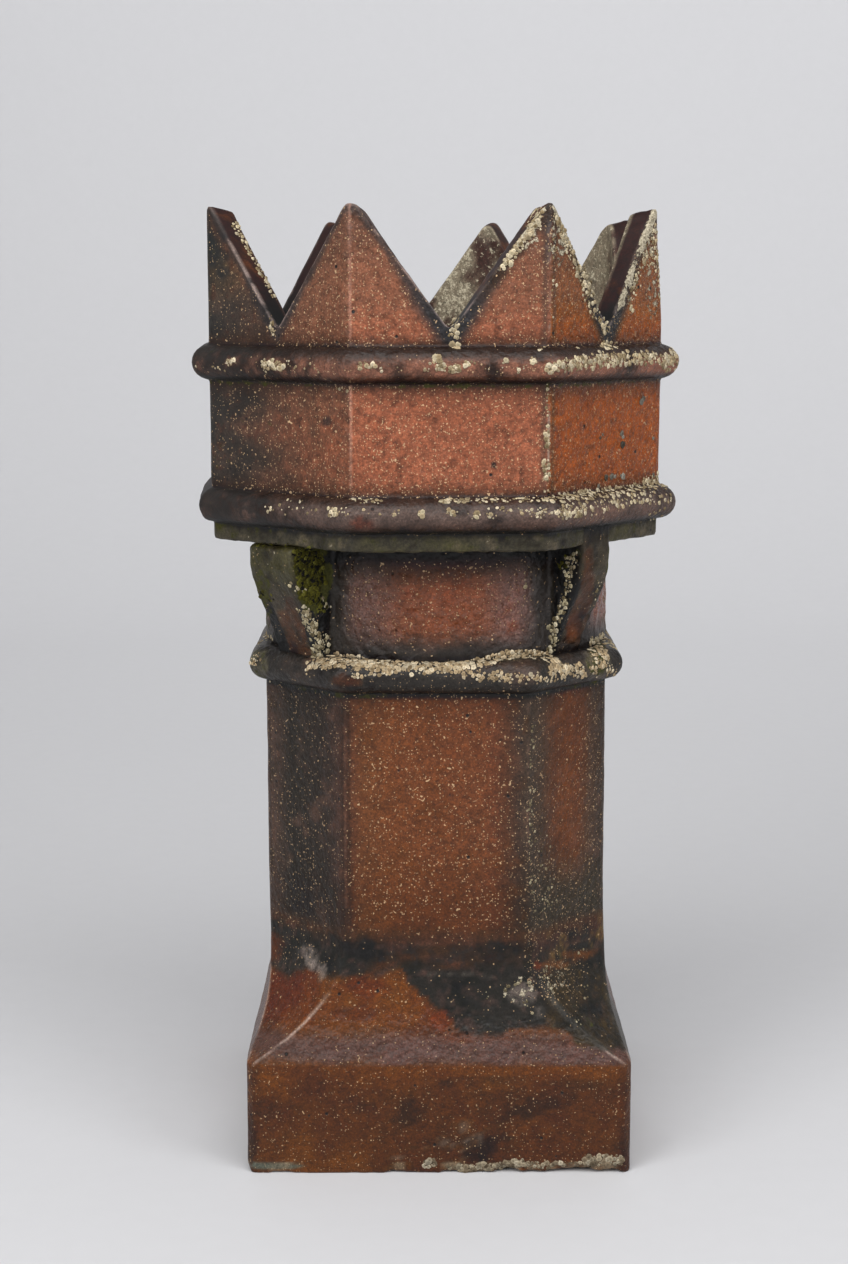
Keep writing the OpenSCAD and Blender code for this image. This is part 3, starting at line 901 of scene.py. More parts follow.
def paintInside(tone, z, part, filmed, noises):
    # the cut faces, with painted shadow toward the bottom of each notch, and the wall's inner face under
    # its pale film
    look = crownPaint
    middle, fine = noises[1:]
    cut = blend(fill(look["cut"], tone), look["cutClay"], smoothStep(middle + fine, 0, 0.8))
    # painted shadow toward the bottom of each notch
    cut = blend(cut, look["deep"], 0.9 * (1 - smoothStep(z + 5 * middle, 796, 846)))
    tone = np.where((part == 1)[..., None], cut, tone)
    film = 0.8 * filmed * smoothStep(-middle - 0.4 * fine, -0.5, 0.1)
    inner = blend(fill(look["inner"], tone), look["film"], film)
    inner = blend(inner, look["deep"], 1 - smoothStep(z + 10 * middle, 700, 800))
    return np.where((part == 2)[..., None], inner, tone)


def paintCrown(points, way, part):
    look = crownPaint
    x, y, z = points[..., 0], points[..., 1], points[..., 2]
    turn = turnOf(points)
    noises = [layeredNoise(points, size, seed) for size, seed in ((85, 61), (28, 62), (8, 63))]
    broad, middle, fine = noises
    outer, flat = part == 0, crownShape["flat"]
    below = np.maximum(cutHeight(np.radians(turn), flat) - z, 0) * 0.62      # square to the cut
    face = np.round(wrapTurn(turn - crownShape["twist"]) / 45).astype(int)
    fromLeft = wrapTurn(turn + 84)
    fromLeft = np.maximum(fromLeft, -0.6 * fromLeft)
    leeward = 1 - smoothStep(fromLeft + 12 * middle + 3 * fine, 14, 66)
    leftPoint = leeward * smoothStep(z, 800, 850)
    tone = paintCrownWall(points, face, below, leeward, leftPoint, noises)
    rollEdges = [upperRollZ - form["rollRadius"], upperRollZ + form["rollRadius"],
                 lowerRollZ + form["rollRadius"]]
    nearRoll = np.min([np.abs(z - edgeZ) for edgeZ in rollEdges], axis=0)
    # painted shade beside the rolls
    tone = blend(tone, look["shadeBesideRoll"], 0.6 * np.exp(-((nearRoll + 3 * middle) / 11) ** 2))
    deepNotch = (1 - smoothStep(z, 795, 862)) * (1 - 0.6 * (1 - smoothStep(turn, -30, -12)))
    tone, edge = paintNotches(tone, z, below, deepNotch, outer, noises)
    # painted shade in the crease where each roll meets the wall
    tone = blend(tone, look["rollCreaseShade"], 0.9 * line(nearRoll, 0, 2.6))
    upperRing, lowerRing = (1 - smoothStep(np.abs(z - middleZ), 14.5, 17)
                            for middleZ in (upperRollZ, lowerRollZ))
    ring = np.maximum(upperRing, lowerRing)
    tone, ember = paintCrownRolls(tone, points, ring, leeward, noises)
    tone, lip = paintLip(tone, points, noises)
    clear = (ring < 0.1) * (z > 640) * outer
    tone = paintCrownMarks(tone, points, turn, way, clear, leeward, outer, noises)
    grimy = (1 - smoothStep(below + 4 * middle, 6, 15)) * smoothStep(z, 800, 830)
    grimy = grimy * band(turn, 12, 120, 4) * outer
    tone = blend(tone, look["grime"], 0.8 * grimy * smoothStep(fine + middle, -0.8, 0.1))
    tone = tone * (1 + 0.12 * middle + 0.09 * fine)[..., None]
    filmed = smoothStep(z, 765, 800) * smoothStep(y + x * 0.5, -60, 20)
    tone = paintInside(tone, z, part, filmed, noises)
    wall = outer * (1 - ring) * (1 - lip)
    speck = (0.8 + 0.15 * np.isin(face, (1, 2)) - 0.4 * leeward
             - 0.4 * edge) * wall + 0.3 * ember * ring * outer
    crust = frontPatches(points, flat, look["crustPatches"]) * outer
    crust = crust + 0.48 * (1 - smoothStep(below, 2, 8)) * (z > 800) * band(turn, 16, 118, 3) * outer
    crust = crust + 0.25 * lip * outer * smoothStep(fine + 0.5 * broad, -0.1, 0.5)
    inside = (0.34 + 0.24 * smoothStep(-middle, -0.4, 0.5)) * (part == 2) * filmed
    crust = crust + inside * (1 - 0.2 * smoothStep(x, 90, 150))
    moss = 0.26 * lip + 0.3 * leeward * smoothStep(middle, 0.0, 0.5)
    moss = (moss + 0.5 * line(z, 741, 3) * smoothStep(broad, -0.4, 0.2)) * outer
    soot = 0.42 * leeward * (1 - leftPoint) * (1 - 0.8 * lip) + 0.22 * ring * (1 - ember)
    soot = (soot + 0.4 * edge * deepNotch) * outer
    gloss = np.where(outer, 0.45 + 0.35 * np.isin(face, (1, 2)) * wall + 0.1 * ring, 0.15)
    gloss = gloss * (1 - 0.75 * leeward)
    return {"tone": tone, "speck": speck, "crust": crust, "moss": moss, "soot": soot, "gloss": gloss}


def newMaterial(name):
    material = bpy.data.materials.new(name)
    material.use_nodes = True
    return material, material.node_tree, material.node_tree.nodes["Principled BSDF"]


def node(tree, kind, inputs=None, give=0, **settings):
    # adds a node, sets its properties, fills or links its inputs, and gives back one output;
    # a tone is given as its hex
    made = tree.nodes.new(kind)
    for name, value in settings.items():
        setattr(made, name, value)
    for key, value in (inputs or {}).items():
        if isinstance(value, bpy.types.NodeSocket):
            tree.links.new(value, made.inputs[key])
        elif isinstance(value, str):
            made.inputs[key].default_value = linearHex(value)
        else:
            made.inputs[key].default_value = value
    return made.outputs[give]


# settings that many nodes share
colourMix = {"give": 2, "data_type": "RGBA"}
eased = {"interpolation_type": "SMOOTHSTEP"}


def perMm(size):
    # texture scale for a pattern so many millimetres across, on coordinates in metres
    return 1 / (size * mm)


glaze = {
    "ior": 1.47, "specular": 0.36,
    "matt": 0.66, "glossGain": -0.42, "growthGain": 0.4,         # roughness, and what gloss and growths add
    # millimetres across: the body's grain and mottling, wisps where the glaze ran, the curl of its
    # specks, frayed edges of soot and moss, islands of lichen, cells with a pit in some, orange peel
    "grain": 1.8, "mottle": 7, "wisp": 3, "curl": 8, "frayed": 9, "island": 5, "pitCell": 17,
    "peel": 4.2, "dimple": 9, "relief": 2.8,
    "soot": "#1d1b19", "pit": "#17110f", "grogTan": "#bd8a60", "grogCream": "#ecd3a6",
    "mossDark": "#0d0f04", "mossOlive": "#54531f", "lichenDark": "#6d6350", "lichenPale": "#d0c5ab",
    # specks where grog and lime blow through the skin: size of cell, reach in it, bend and share
    "specks": [(1.9, 0.34, 0.003, 0.34), (2.6, 0.30, 0.002, 0.6), (4.0, 0.28, 0.006, 0.7),
               (5.0, 0.25, 0.016, 0.75)],
}


def glazeShade(tree, place, grain, mottle):
    # the body's own grain and mottling, and short wisps 3 mm wide where the glaze ran
    streaks = node(tree, "ShaderNodeTexNoise",
                   {"Vector": place, "Scale": perMm(glaze["wisp"]), "Detail": 2.0, "Distortion": 1.6})
    shade = None
    for value, low, high in ((grain, 0.6, 1.38), (mottle, 0.66, 1.3), (streaks, 0.74, 1.24)):
        part = node(tree, "ShaderNodeMapRange", {"Value": value, "From Min": 0.3, "From Max": 0.7,
                                                 "To Min": low, "To Max": high}, clamp=False)
        shade = part if shade is None else node(tree, "ShaderNodeMath", {0: shade, 1: part},
                                                operation="MULTIPLY")
    return shade


def grogSpecks(tree, place, amount):
    # cream specks 1 to 3 mm across, some drawn out into curls
    swirl = node(tree, "ShaderNodeTexNoise",
                 {"Vector": place, "Scale": perMm(glaze["curl"]), "Detail": 2.0}, give="Color")
    specks = None
    for size, reach, bend, share in glaze["specks"]:
        pull = node(tree, "ShaderNodeVectorMath", {0: swirl, "Scale": bend}, operation="SCALE")
        bent = node(tree, "ShaderNodeVectorMath", {0: place, 1: pull}, operation="ADD")
        apart = node(tree, "ShaderNodeTexVoronoi", {"Vector": bent, "Scale": perMm(size)}, give="Distance")
        lot = node(tree, "ShaderNodeSeparateColor", {0: apart.node.outputs["Color"]})
        wanted = node(tree, "ShaderNodeMath", {0: amount, 1: share}, operation="MULTIPLY")
        chosen = node(tree, "ShaderNodeMath", {0: lot, 1: wanted}, operation="LESS_THAN")
        radius = node(tree, "ShaderNodeMapRange",
                      {"Value": lot.node.outputs[1], "To Min": 0.5 * reach, "To Max": reach})
        dot = node(tree, "ShaderNodeMath", {0: radius, 1: apart}, operation="SUBTRACT")
        dot = node(tree, "ShaderNodeMapRange", {"Value": dot, "From Max": 0.07}, **eased)
        bright = node(tree, "ShaderNodeMapRange",
                      {"Value": lot.node.outputs[2], "To Min": 0.3, "To Max": 0.95})
        dot = node(tree, "ShaderNodeMath", {0: dot, 1: chosen}, operation="MULTIPLY")
        dot = node(tree, "ShaderNodeMath", {0: dot, 1: bright}, operation="MULTIPLY")
        specks = dot if specks is None else node(tree, "ShaderNodeMath", {0: specks, 1: dot},
                                                 operation="MAXIMUM")
    return specks


def darkPits(tree, place):
    # few, and up to 4 mm
    apart = node(tree, "ShaderNodeTexVoronoi",
                 {"Vector": place, "Scale": perMm(glaze["pitCell"])}, give="Distance")
    lot = node(tree, "ShaderNodeSeparateColor", {0: apart.node.outputs["Color"]})
    few = node(tree, "ShaderNodeMath", {0: lot, 1: 0.35}, operation="LESS_THAN")
    pits = node(tree, "ShaderNodeMapRange", {"Value": apart, "From Min": 0.12, "From Max": 0.06}, **eased)
    return node(tree, "ShaderNodeMath", {0: pits, 1: few}, operation="MULTIPLY")


def raggedFilm(tree, amount, pattern, low, high):
    # a film that breaks up along a pattern where there is less of it
    film = node(tree, "ShaderNodeMath", {0: amount, 1: 0.5, 2: pattern}, operation="MULTIPLY_ADD")
    return node(tree, "ShaderNodeMapRange", {"Value": film, "From Min": low, "From Max": high}, **eased)


def glazeRelief(tree, place, grain, specks, crusty, pits, gloss):
    # orange peel at 4 and 9 mm, grit at 1.8 mm, specks and crust a little proud, pits sunk
    peel = node(tree, "ShaderNodeTexNoise",
                {"Vector": place, "Scale": perMm(glaze["peel"]), "Detail": 1.5, "Roughness": 0.45})
    dimples = node(tree, "ShaderNodeTexNoise",
                   {"Vector": place, "Scale": perMm(glaze["dimple"]), "Detail": 1.0, "Roughness": 0.4})
    height = peel
    for part, tall in ((grain, 0.3), (dimples, 1.5), (specks, 0.25), (crusty, 0.8), (pits, -0.8)):
        height = node(tree, "ShaderNodeMath", {0: part, 1: tall, 2: height}, operation="MULTIPLY_ADD")
    # the better glazed, the stronger its orange peel shows
    peeled = node(tree, "ShaderNodeMath", {0: gloss, 1: 1.3, 2: -0.15}, operation="MULTIPLY_ADD",
                  use_clamp=True)
    return node(tree, "ShaderNodeBump",
                {"Height": height, "Strength": peeled, "Distance": glaze["relief"] * mm})


def saltGlazedFireclay():
    # Fireclay glazed by salt thrown in the kiln: red-brown and sooty, orange-peeled, half glossy,
    # and full of pale grog specks, with thin films of moss and lichen where it stays damp
    material, tree, shader = newMaterial("saltGlazedFireclay")
    place = node(tree, "ShaderNodeTexCoord", give="Object")
    laid = {name: node(tree, "ShaderNodeAttribute", give="Fac", attribute_name=name)
            for name in ("speck", "crust", "moss", "soot", "gloss")}
    colour = node(tree, "ShaderNodeAttribute", give="Color", attribute_name="tone")
    grain = node(tree, "ShaderNodeTexNoise",
                 {"Vector": place, "Scale": perMm(glaze["grain"]), "Detail": 3.0, "Roughness": 0.6})
    mottle = node(tree, "ShaderNodeTexNoise",
                  {"Vector": place, "Scale": perMm(glaze["mottle"]), "Detail": 5.0, "Roughness": 0.68})
    shade = glazeShade(tree, place, grain, mottle)
    colour = node(tree, "ShaderNodeVectorMath", {0: colour, "Scale": shade}, operation="SCALE")
    # soot burnt in by the kiln, in ragged specks at its edges
    ragged = node(tree, "ShaderNodeTexNoise",
                  {"Vector": place, "Scale": perMm(glaze["frayed"]), "Detail": 6.0, "Roughness": 0.68})
    sooty = node(tree, "ShaderNodeMath", {0: laid["soot"], 1: ragged}, operation="ADD")
    sooty = node(tree, "ShaderNodeMapRange", {"Value": sooty, "From Min": 0.88, "From Max": 1.06}, **eased)
    sooty = node(tree, "ShaderNodeMath", {0: sooty, 1: 0.75}, operation="MULTIPLY")
    colour = node(tree, "ShaderNodeMix", {0: sooty, 6: colour, 7: glaze["soot"]}, **colourMix)
    specks = grogSpecks(tree, place, laid["speck"])
    cream = node(tree, "ShaderNodeMix",
                 {0: mottle, 6: glaze["grogTan"], 7: glaze["grogCream"]}, **colourMix)
    soft = node(tree, "ShaderNodeMix", {0: 0.2, 6: cream, 7: colour}, **colourMix)
    colour = node(tree, "ShaderNodeMix", {0: specks, 6: colour, 7: soft}, **colourMix)
    pits = darkPits(tree, place)
    colour = node(tree, "ShaderNodeMix", {0: pits, 6: colour, 7: glaze["pit"]}, **colourMix)
    # moss, dark and mealy
    mossy = raggedFilm(tree, laid["moss"], ragged, 0.66, 0.86)
    green = node(tree, "ShaderNodeMix",
                 {0: grain, 6: glaze["mossDark"], 7: glaze["mossOlive"]}, **colourMix)
    colour = node(tree, "ShaderNodeMix", {0: mossy, 6: colour, 7: green}, **colourMix)
    # crustose lichen, cream with darker hollows, in islands of 3 to 8 mm
    islands = node(tree, "ShaderNodeTexNoise",
                   {"Vector": place, "Scale": perMm(glaze["island"]), "Detail": 5.0, "Roughness": 0.66})
    crusty = raggedFilm(tree, laid["crust"], islands, 0.74, 0.80)
    pale = node(tree, "ShaderNodeMapRange", {"Value": grain, "From Min": 0.35, "From Max": 0.65})
    chalk = node(tree, "ShaderNodeMix",
                 {0: pale, 6: glaze["lichenDark"], 7: glaze["lichenPale"]}, **colourMix)
    colour = node(tree, "ShaderNodeMix", {0: crusty, 6: colour, 7: chalk}, **colourMix)
    tree.links.new(colour, shader.inputs["Base Color"])
    # fired glaze sheen from 0.3, dull on soot and growths
    growth = node(tree, "ShaderNodeMath", {0: crusty, 1: mossy}, operation="MAXIMUM")
    rough = node(tree, "ShaderNodeMath", {0: laid["gloss"], 1: glaze["glossGain"], 2: glaze["matt"]},
                 operation="MULTIPLY_ADD")
    rough = node(tree, "ShaderNodeMath", {0: growth, 1: glaze["growthGain"], 2: rough},
                 operation="MULTIPLY_ADD", use_clamp=True)
    tree.links.new(rough, shader.inputs["Roughness"])
    shader.inputs["IOR"].default_value = glaze["ior"]
    shader.inputs["Specular IOR Level"].default_value = glaze["specular"]
    tree.links.new(glazeRelief(tree, place, grain, specks, crusty, pits, laid["gloss"]),
                   shader.inputs["Normal"])
    return material


fireclay = saltGlazedFireclay()
shaftPoints, shaftWay, shaftDeep = makeShaft()
neckPoints = makeNeck()
crownPoints, crownWay, crownPart = makeCrown()
shaft = gridPiece("shaft", shaftPoints)
neck = gridPiece("neck", neckPoints)
crown = gridPiece("crown", crownPoints)
lay(shaft, paintShaft(shaftPoints, shaftWay, shaftDeep))
lay(neck, paintNeck(neckPoints))
lay(crown, paintCrown(crownPoints, crownWay, crownPart))
for piece in (shaft, neck, crown):
    piece.data.materials.append(fireclay)
    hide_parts("pot")
    print(piece.name, len(piece.data.polygons), "quads")

growths = {
    # strips as seen from the front on an upright plane at a depth: path of x and z, width, how
    # closely grown, and size of a grain
    "ringLichen": {"depth": 224, "spacing": 2.1,
                   "tones": ["#cfc09f", "#bba887", "#ddceb0", "#9e8c6e"], "strips": [
        ([(-143, 761), (-124, 759)], 8, 0.8, 1.3), ([(-174, 764), (-166, 763)], 5, 0.6, 1.2),
        ([(-108, 760), (-82, 758)], 6, 0.2, 0.9), ([(-60, 759), (-44, 759)], 6, 0.75, 1.1),
        ([(7, 765), (16, 757)], 7, 0.9, 1.4), ([(20, 757), (30, 756)], 6, 0.8, 1.3),
        ([(33, 761), (42, 761)], 4, 0.7, 1.2), ([(66, 763), (70, 763)], 4, 0.7, 1.2),
        ([(90, 764), (95, 764)], 5, 0.8, 1.2),
        ([(104, 757), (124, 759), (150, 763), (185, 765), (217, 765)], 9, 0.95, 1.35),
        ([(112, 762), (150, 768), (200, 770)], 5, 0.5, 1.1), ([(205, 758), (222, 760)], 14, 0.5, 1.1),
        ([(152, 777), (166, 776)], 6, 0.85, 1.3), ([(98, 774), (104, 774)], 3, 0.7, 1.1),
        ([(130, 776), (138, 774)], 3, 0.5, 1.0), ([(22, 776), (28, 776)], 5, 0.9, 1.5),
        ([(-66, 642), (-40, 641)], 3, 0.8, 1.0), ([(-126, 641), (-100, 642)], 3, 0.3, 0.9),
        ([(13, 642), (37, 642)], 4, 0.9, 1.2), ([(40, 642), (110, 643)], 2.6, 0.85, 1.0),
        ([(106, 643), (150, 648), (200, 656), (222, 654)], 7, 0.85, 1.2),
        ([(112, 632), (150, 637), (190, 645), (222, 642)], 13, 0.5, 1.1),
        ([(-86, 631), (-78, 631)], 8, 0.75, 1.2), ([(-72, 630), (-69, 630)], 3, 0.7, 1.0),
        ([(-43, 630), (-40, 630)], 3, 0.6, 1.0), ([(-6, 630), (-3, 630)], 3, 0.8, 1.2),
        ([(20, 633), (23, 628)], 5, 0.8, 1.1), ([(42, 629), (48, 630)], 4, 0.8, 1.2),
        ([(52, 629), (62, 627)], 4, 0.7, 1.1), ([(82, 632), (86, 632)], 3, 0.7, 1.0),
        ([(97, 630), (107, 633)], 7, 0.75, 1.1), ([(114, 630), (138, 633)], 9, 0.7, 1.2),
        ([(196, 626), (222, 632)], 14, 0.35, 1.0),
        # strays along the rolls and the lip
        ([(-200, 758), (-60, 757)], 16, 0.04, 0.8), ([(-60, 758), (104, 757)], 16, 0.04, 0.85),
        ([(-150, 634), (0, 630)], 14, 0.04, 0.9), ([(0, 632), (110, 632)], 16, 0.09, 0.9),
    ]},
    "pointLichen": {"depth": 212, "spacing": 2.1,
                    "tones": ["#cbbb9b", "#b5a384", "#dacbac", "#938163"], "strips": [
        ([(66, 843), (84, 868), (99, 896)], 8, 0.8, 1.2), ([(88, 868), (98, 884)], 10, 0.4, 1.0),
        ([(113, 890), (124, 862), (143, 818)], 9, 0.85, 1.2), ([(138, 822), (150, 797)], 7, 0.6, 1.1),
        ([(106, 872), (112, 850)], 7, 0.35, 0.9), ([(25, 799), (23, 783)], 7, 0.9, 1.2),
        ([(-136, 800), (-133, 784)], 4, 0.75, 1.1), ([(152, 799), (158, 787)], 6, 0.85, 1.2),
        ([(184, 838), (177, 806)], 8, 0.5, 1.1), ([(203, 884), (196, 862), (188, 840)], 12, 0.5, 1.0),
        ([(206, 870), (207, 800)], 5, 0.35, 1.0), ([(196, 850), (200, 836)], 10, 0.3, 0.9),
        ([(-166, 881), (-148, 849), (-130, 816)], 6, 0.9, 1.0), ([(-30, 870), (-12, 846)], 3, 0.55, 0.9),
        ([(105, 742), (106, 700)], 2, 0.5, 0.9), ([(106, 700), (106, 688)], 4, 0.8, 1.2),
        ([(104, 676), (106, 660)], 5, 0.8, 1.2), ([(106, 660), (105, 646)], 3, 0.5, 1.0),
        ([(112, 845), (109, 790)], 3, 0.35, 0.9), ([(-78, 738), (-68, 737)], 3, 0.6, 1.0),
    ]},
    "rollLichen": {"depth": 178, "spacing": 2.0,
                   "tones": ["#d3bf9e", "#c2ab88", "#e0d0b2", "#a48f70"], "strips": [
        ([(-108, 486), (-97, 491), (-85, 494), (-60, 491), (-40, 488), (0, 486), (35, 487), (55, 491),
          (70, 496), (88, 498), (108, 496), (117, 490), (124, 483)], 7.5, 1.0, 1.25),
        ([(-106, 485), (-84, 490), (-58, 487), (-30, 484)], 6, 0.85, 1.2),
        ([(-112, 483), (-104, 478)], 5, 0.5, 1.0),
        ([(30, 480), (52, 477), (80, 474), (104, 477)], 11, 0.45, 1.2),
        ([(-20, 481), (32, 481)], 5, 0.45, 1.1), ([(-56, 478), (-22, 482)], 6, 0.5, 1.1),
        ([(-68, 478), (-58, 477)], 3, 0.5, 1.0), ([(112, 484), (142, 481)], 13, 0.8, 1.3),
        ([(100, 472), (126, 474)], 7, 0.4, 1.0), ([(142, 479), (146, 476)], 4, 0.7, 1.1),
        ([(154, 508), (160, 486)], 15, 0.75, 1.2), ([(166, 486), (172, 470)], 8, 0.5, 1.1),
        ([(150, 486), (156, 476)], 6, 0.6, 1.1), ([(-163, 502), (-154, 488)], 13, 0.55, 0.9),
        ([(-166, 480), (-156, 466)], 9, 0.45, 0.9), ([(-146, 474), (-120, 470)], 6, 0.12, 0.9),
    ]},
    "bracketLichen": {"depth": 185, "spacing": 2.3,
                      "tones": ["#c6b997", "#a5977a", "#d6caac", "#7a6e55"], "strips": [
        ([(-130, 560), (-108, 557)], 8, 0.45, 1.0),
        ([(-113, 542), (-106, 526), (-100, 518)], 11, 0.85, 1.2),
        ([(-100, 518), (-93, 504), (-104, 496)], 14, 0.75, 1.2), ([(-94, 549), (-89, 540)], 6, 0.5, 1.0),
        ([(131, 592), (127, 564)], 12, 0.6, 1.1), ([(127, 564), (124, 542)], 7, 0.65, 1.1),
        ([(124, 546), (116, 528)], 9, 0.7, 1.2), ([(112, 526), (116, 514), (111, 502)], 8, 0.75, 1.2),
        ([(156, 566), (150, 548)], 4, 0.5, 1.0), ([(163, 590), (160, 520)], 4, 0.25, 0.9),
        ([(-172, 585), (-170, 560)], 3, 0.4, 0.9), ([(88, 573), (88.4, 563)], 0.5, 1.0, 0.45),
        ([(88.4, 560.5), (88.4, 561.5)], 0.5, 1.0, 1.2),
    ]},
    # these go round the sides and the back: path of turn and height
    "sideLichen": {"around": 225, "spacing": 2.3,
                   "tones": ["#cfc09f", "#bba887", "#ddceb0", "#9e8c6e"], "strips": [
        ([(70, 766), (84, 765)], 10, 0.75, 1.2), ([(84, 765), (104, 763)], 9, 0.35, 1.1),
        ([(112, 764), (118, 762)], 7, 0.5, 1.1), ([(148, 763), (152, 765)], 6, 0.6, 1.1),
        ([(205, 764), (216, 762)], 7, 0.4, 1.1), ([(262, 765), (268, 763)], 6, 0.5, 1.0),
        ([(66, 648), (84, 646)], 12, 0.6, 1.2), ([(84, 646), (108, 643)], 9, 0.3, 1.0),
        ([(130, 642), (150, 643)], 5, 0.35, 1.0), ([(196, 643), (208, 642)], 5, 0.4, 1.0),
        ([(240, 642), (252, 644)], 4, 0.4, 1.0), ([(62, 492), (80, 489)], 11, 0.6, 1.1),
        ([(84, 488), (112, 486)], 8, 0.25, 1.0), ([(150, 488), (176, 487)], 7, 0.35, 1.0),
        ([(205, 488), (225, 486)], 7, 0.25, 1.0), ([(268, 490), (292, 489)], 9, 0.35, 1.0),
        ([(72, 812), (72, 880)], 9, 0.3, 1.0), ([(66, 850), (78, 850)], 8, 0.2, 1.0),
        ([(118, 830), (114, 868)], 6, 0.3, 1.0), ([(52, 12), (60, 9)], 7, 0.5, 1.7),
        ([(64, 6), (74, 5)], 3, 0.5, 1.4), ([(96, 5), (104, 6)], 3, 0.4, 1.4),
        ([(205, 6), (215, 5)], 4, 0.4, 1.4), ([(300, 7), (308, 6)], 4, 0.4, 1.4),
    ]},
    "saltFlakes": {"depth": 212, "spacing": 4.2,
                   "tones": ["#8d877c", "#777167", "#a29c90", "#5a554d"], "strips": [
        ([(153, 698), (155, 692)], 2, 0.9, 1.9), ([(170, 699), (172, 690)], 2, 0.9, 2.1),
        ([(199, 696), (200, 694)], 3, 0.9, 1.7), ([(190, 729), (187, 724)], 2, 0.8, 1.8),
        ([(158, 660), (176, 664)], 4, 0.9, 1.9), ([(204, 664), (196, 661)], 3, 0.8, 1.7),
        ([(178, 672), (180, 670)], 2, 0.8, 1.3), ([(150, 652), (152, 652)], 2, 0.8, 1.2),
    ]},
    "shaftLichen": {"depth": 170, "spacing": 2.2,
                    "tones": ["#a89c80", "#8f846a", "#bdb294", "#7a6f58"], "strips": [
        ([(98, 432), (96, 330), (100, 245)], 8, 0.30, 0.75), ([(106, 330), (116, 246)], 24, 0.16, 0.7),
        ([(74, 178), (84, 184), (98, 182)], 4, 0.55, 0.9), ([(74, 178), (72, 166)], 5, 0.45, 0.8),
        ([(88, 172), (94, 160)], 9, 0.25, 0.8), ([(98, 158), (102, 148)], 7, 0.3, 0.8),
        ([(56, 174), (60, 166)], 6, 0.25, 0.7), ([(110, 196), (120, 172)], 18, 0.22, 0.7),
        ([(140, 150), (146, 143)], 10, 0.25, 0.8), ([(142, 235), (150, 160)], 6, 0.15, 0.7),
    ]},
    "baseLime": {"depth": 181, "spacing": 2.2, "rise": 0.26,
                 "tones": ["#a3967f", "#8b7c67", "#b9ad96", "#776a58"], "strips": [
        ([(0, 11), (10, 7)], 7, 0.8, 1.6), ([(30, 4), (60, 6), (80, 9)], 6, 0.95, 1.6),
        ([(80, 11), (94, 9)], 8, 0.9, 1.6), ([(92, 8), (118, 8)], 5, 0.85, 1.4),
        ([(118, 8), (150, 9)], 4, 0.7, 1.3), ([(150, 11), (168, 13), (186, 12)], 9, 0.85, 1.5),
        ([(16, 4), (30, 4)], 3, 0.5, 1.3),
    ]},
    "flankMoss": {"depth": 180, "spacing": 1.7,
                  "tones": ["#4d4a1e", "#2b2a12", "#6b6834", "#5a5728"], "strips": [
        ([(-112, 594), (-108, 566), (-103, 545)], 17, 0.95, 1.25),
        ([(-100, 590), (-96, 560)], 12, 0.8, 1.2), ([(-98, 545), (-92, 535)], 10, 0.6, 1.1),
        ([(-150, 556), (-140, 545)], 12, 0.25, 1.0), ([(-190, 600), (-120, 597)], 3, 0.4, 1.0),
        ([(130, 590), (120, 575)], 12, 0.35, 1.1),
    ]},
}


def skinOf(pieces):
    points, faces = [], []
    for piece in pieces:
        start = len(points)
        points += [vertex.co / mm for vertex in piece.data.vertices]
        faces += [[start + i for i in polygon.vertices] for polygon in piece.data.polygons]
    return BVHTree.FromPolygons(points, faces)


strewn = {
    "jitter": 0.45,                      # of the spacing
    "edgeLoss": 0.55, "endLoss": 0.7,    # how much thinner a strip grows at its edges and ends
    "fullness": 1.35, "patchy": 0.6, "patchSize": 5,
    "firstSeed": 500,                    # each growth has the next
}


def strip(path, width, cover, spacing, rng):
    # jittered spots along a strip, ragged at its edges and broken where it is thinly grown
    path = np.array(path, float)
    spans = np.linalg.norm(np.diff(path, axis=0), axis=1)
    at = np.arange(0, spans.sum() + 0.01, spacing)
    along = np.stack([np.interp(at, np.concatenate([[0], np.cumsum(spans)]), path[:, i])
                      for i in (0, 1)], -1)
    heading = np.gradient(along, axis=0) if len(along) > 1 else np.array([[1.0, 0.0]])
    heading = heading / np.linalg.norm(heading, axis=1, keepdims=True)
    sideways = np.stack([-heading[:, 1], heading[:, 0]], -1)
    columns = int(width / spacing) + 1
    offsets = (np.arange(columns) - (columns - 1) / 2) * spacing
    spots = along[:, None] + sideways[:, None] * offsets[None, :, None]
    spots = spots + rng.uniform(-strewn["jitter"], strewn["jitter"], spots.shape) * spacing
    share = np.abs(offsets)[None, :] / (width / 2 + 0.01)
    ends = np.abs((2 * at + spacing) / (at[-1] + spacing) - 1)[:, None] ** 6
    place = np.concatenate([spots, np.zeros(spots.shape[:2] + (1,))], -1)
    chance = cover * strewn["fullness"] - strewn["edgeLoss"] * share ** 2 - strewn["endLoss"] * ends * share
    chance = chance + strewn["patchy"] * (1 - cover) * clayNoise(place, strewn["patchSize"], 91)
    return spots[rng.random(spots.shape[:2]) < chance]


cushion = {
    "sides": 7, "rise": 0.5,
    # rings of a grain: reach and height, in shares of its size and rise
    "rings": [(1.0, -0.35), (0.78, 0.7)],
    "spread": 1.4, "uneven": 0.26, "hollowShare": 0.3, "hollowTop": 0.5, "top": 0.95, "foot": 0.5,
    "least": 0.55, "most": 1.15, "fewLarge": 1.8,
    "footShade": 0.74, "undersideShade": 0.5, "topShade": 0.7, "shades": (0.85, 1.12),
}


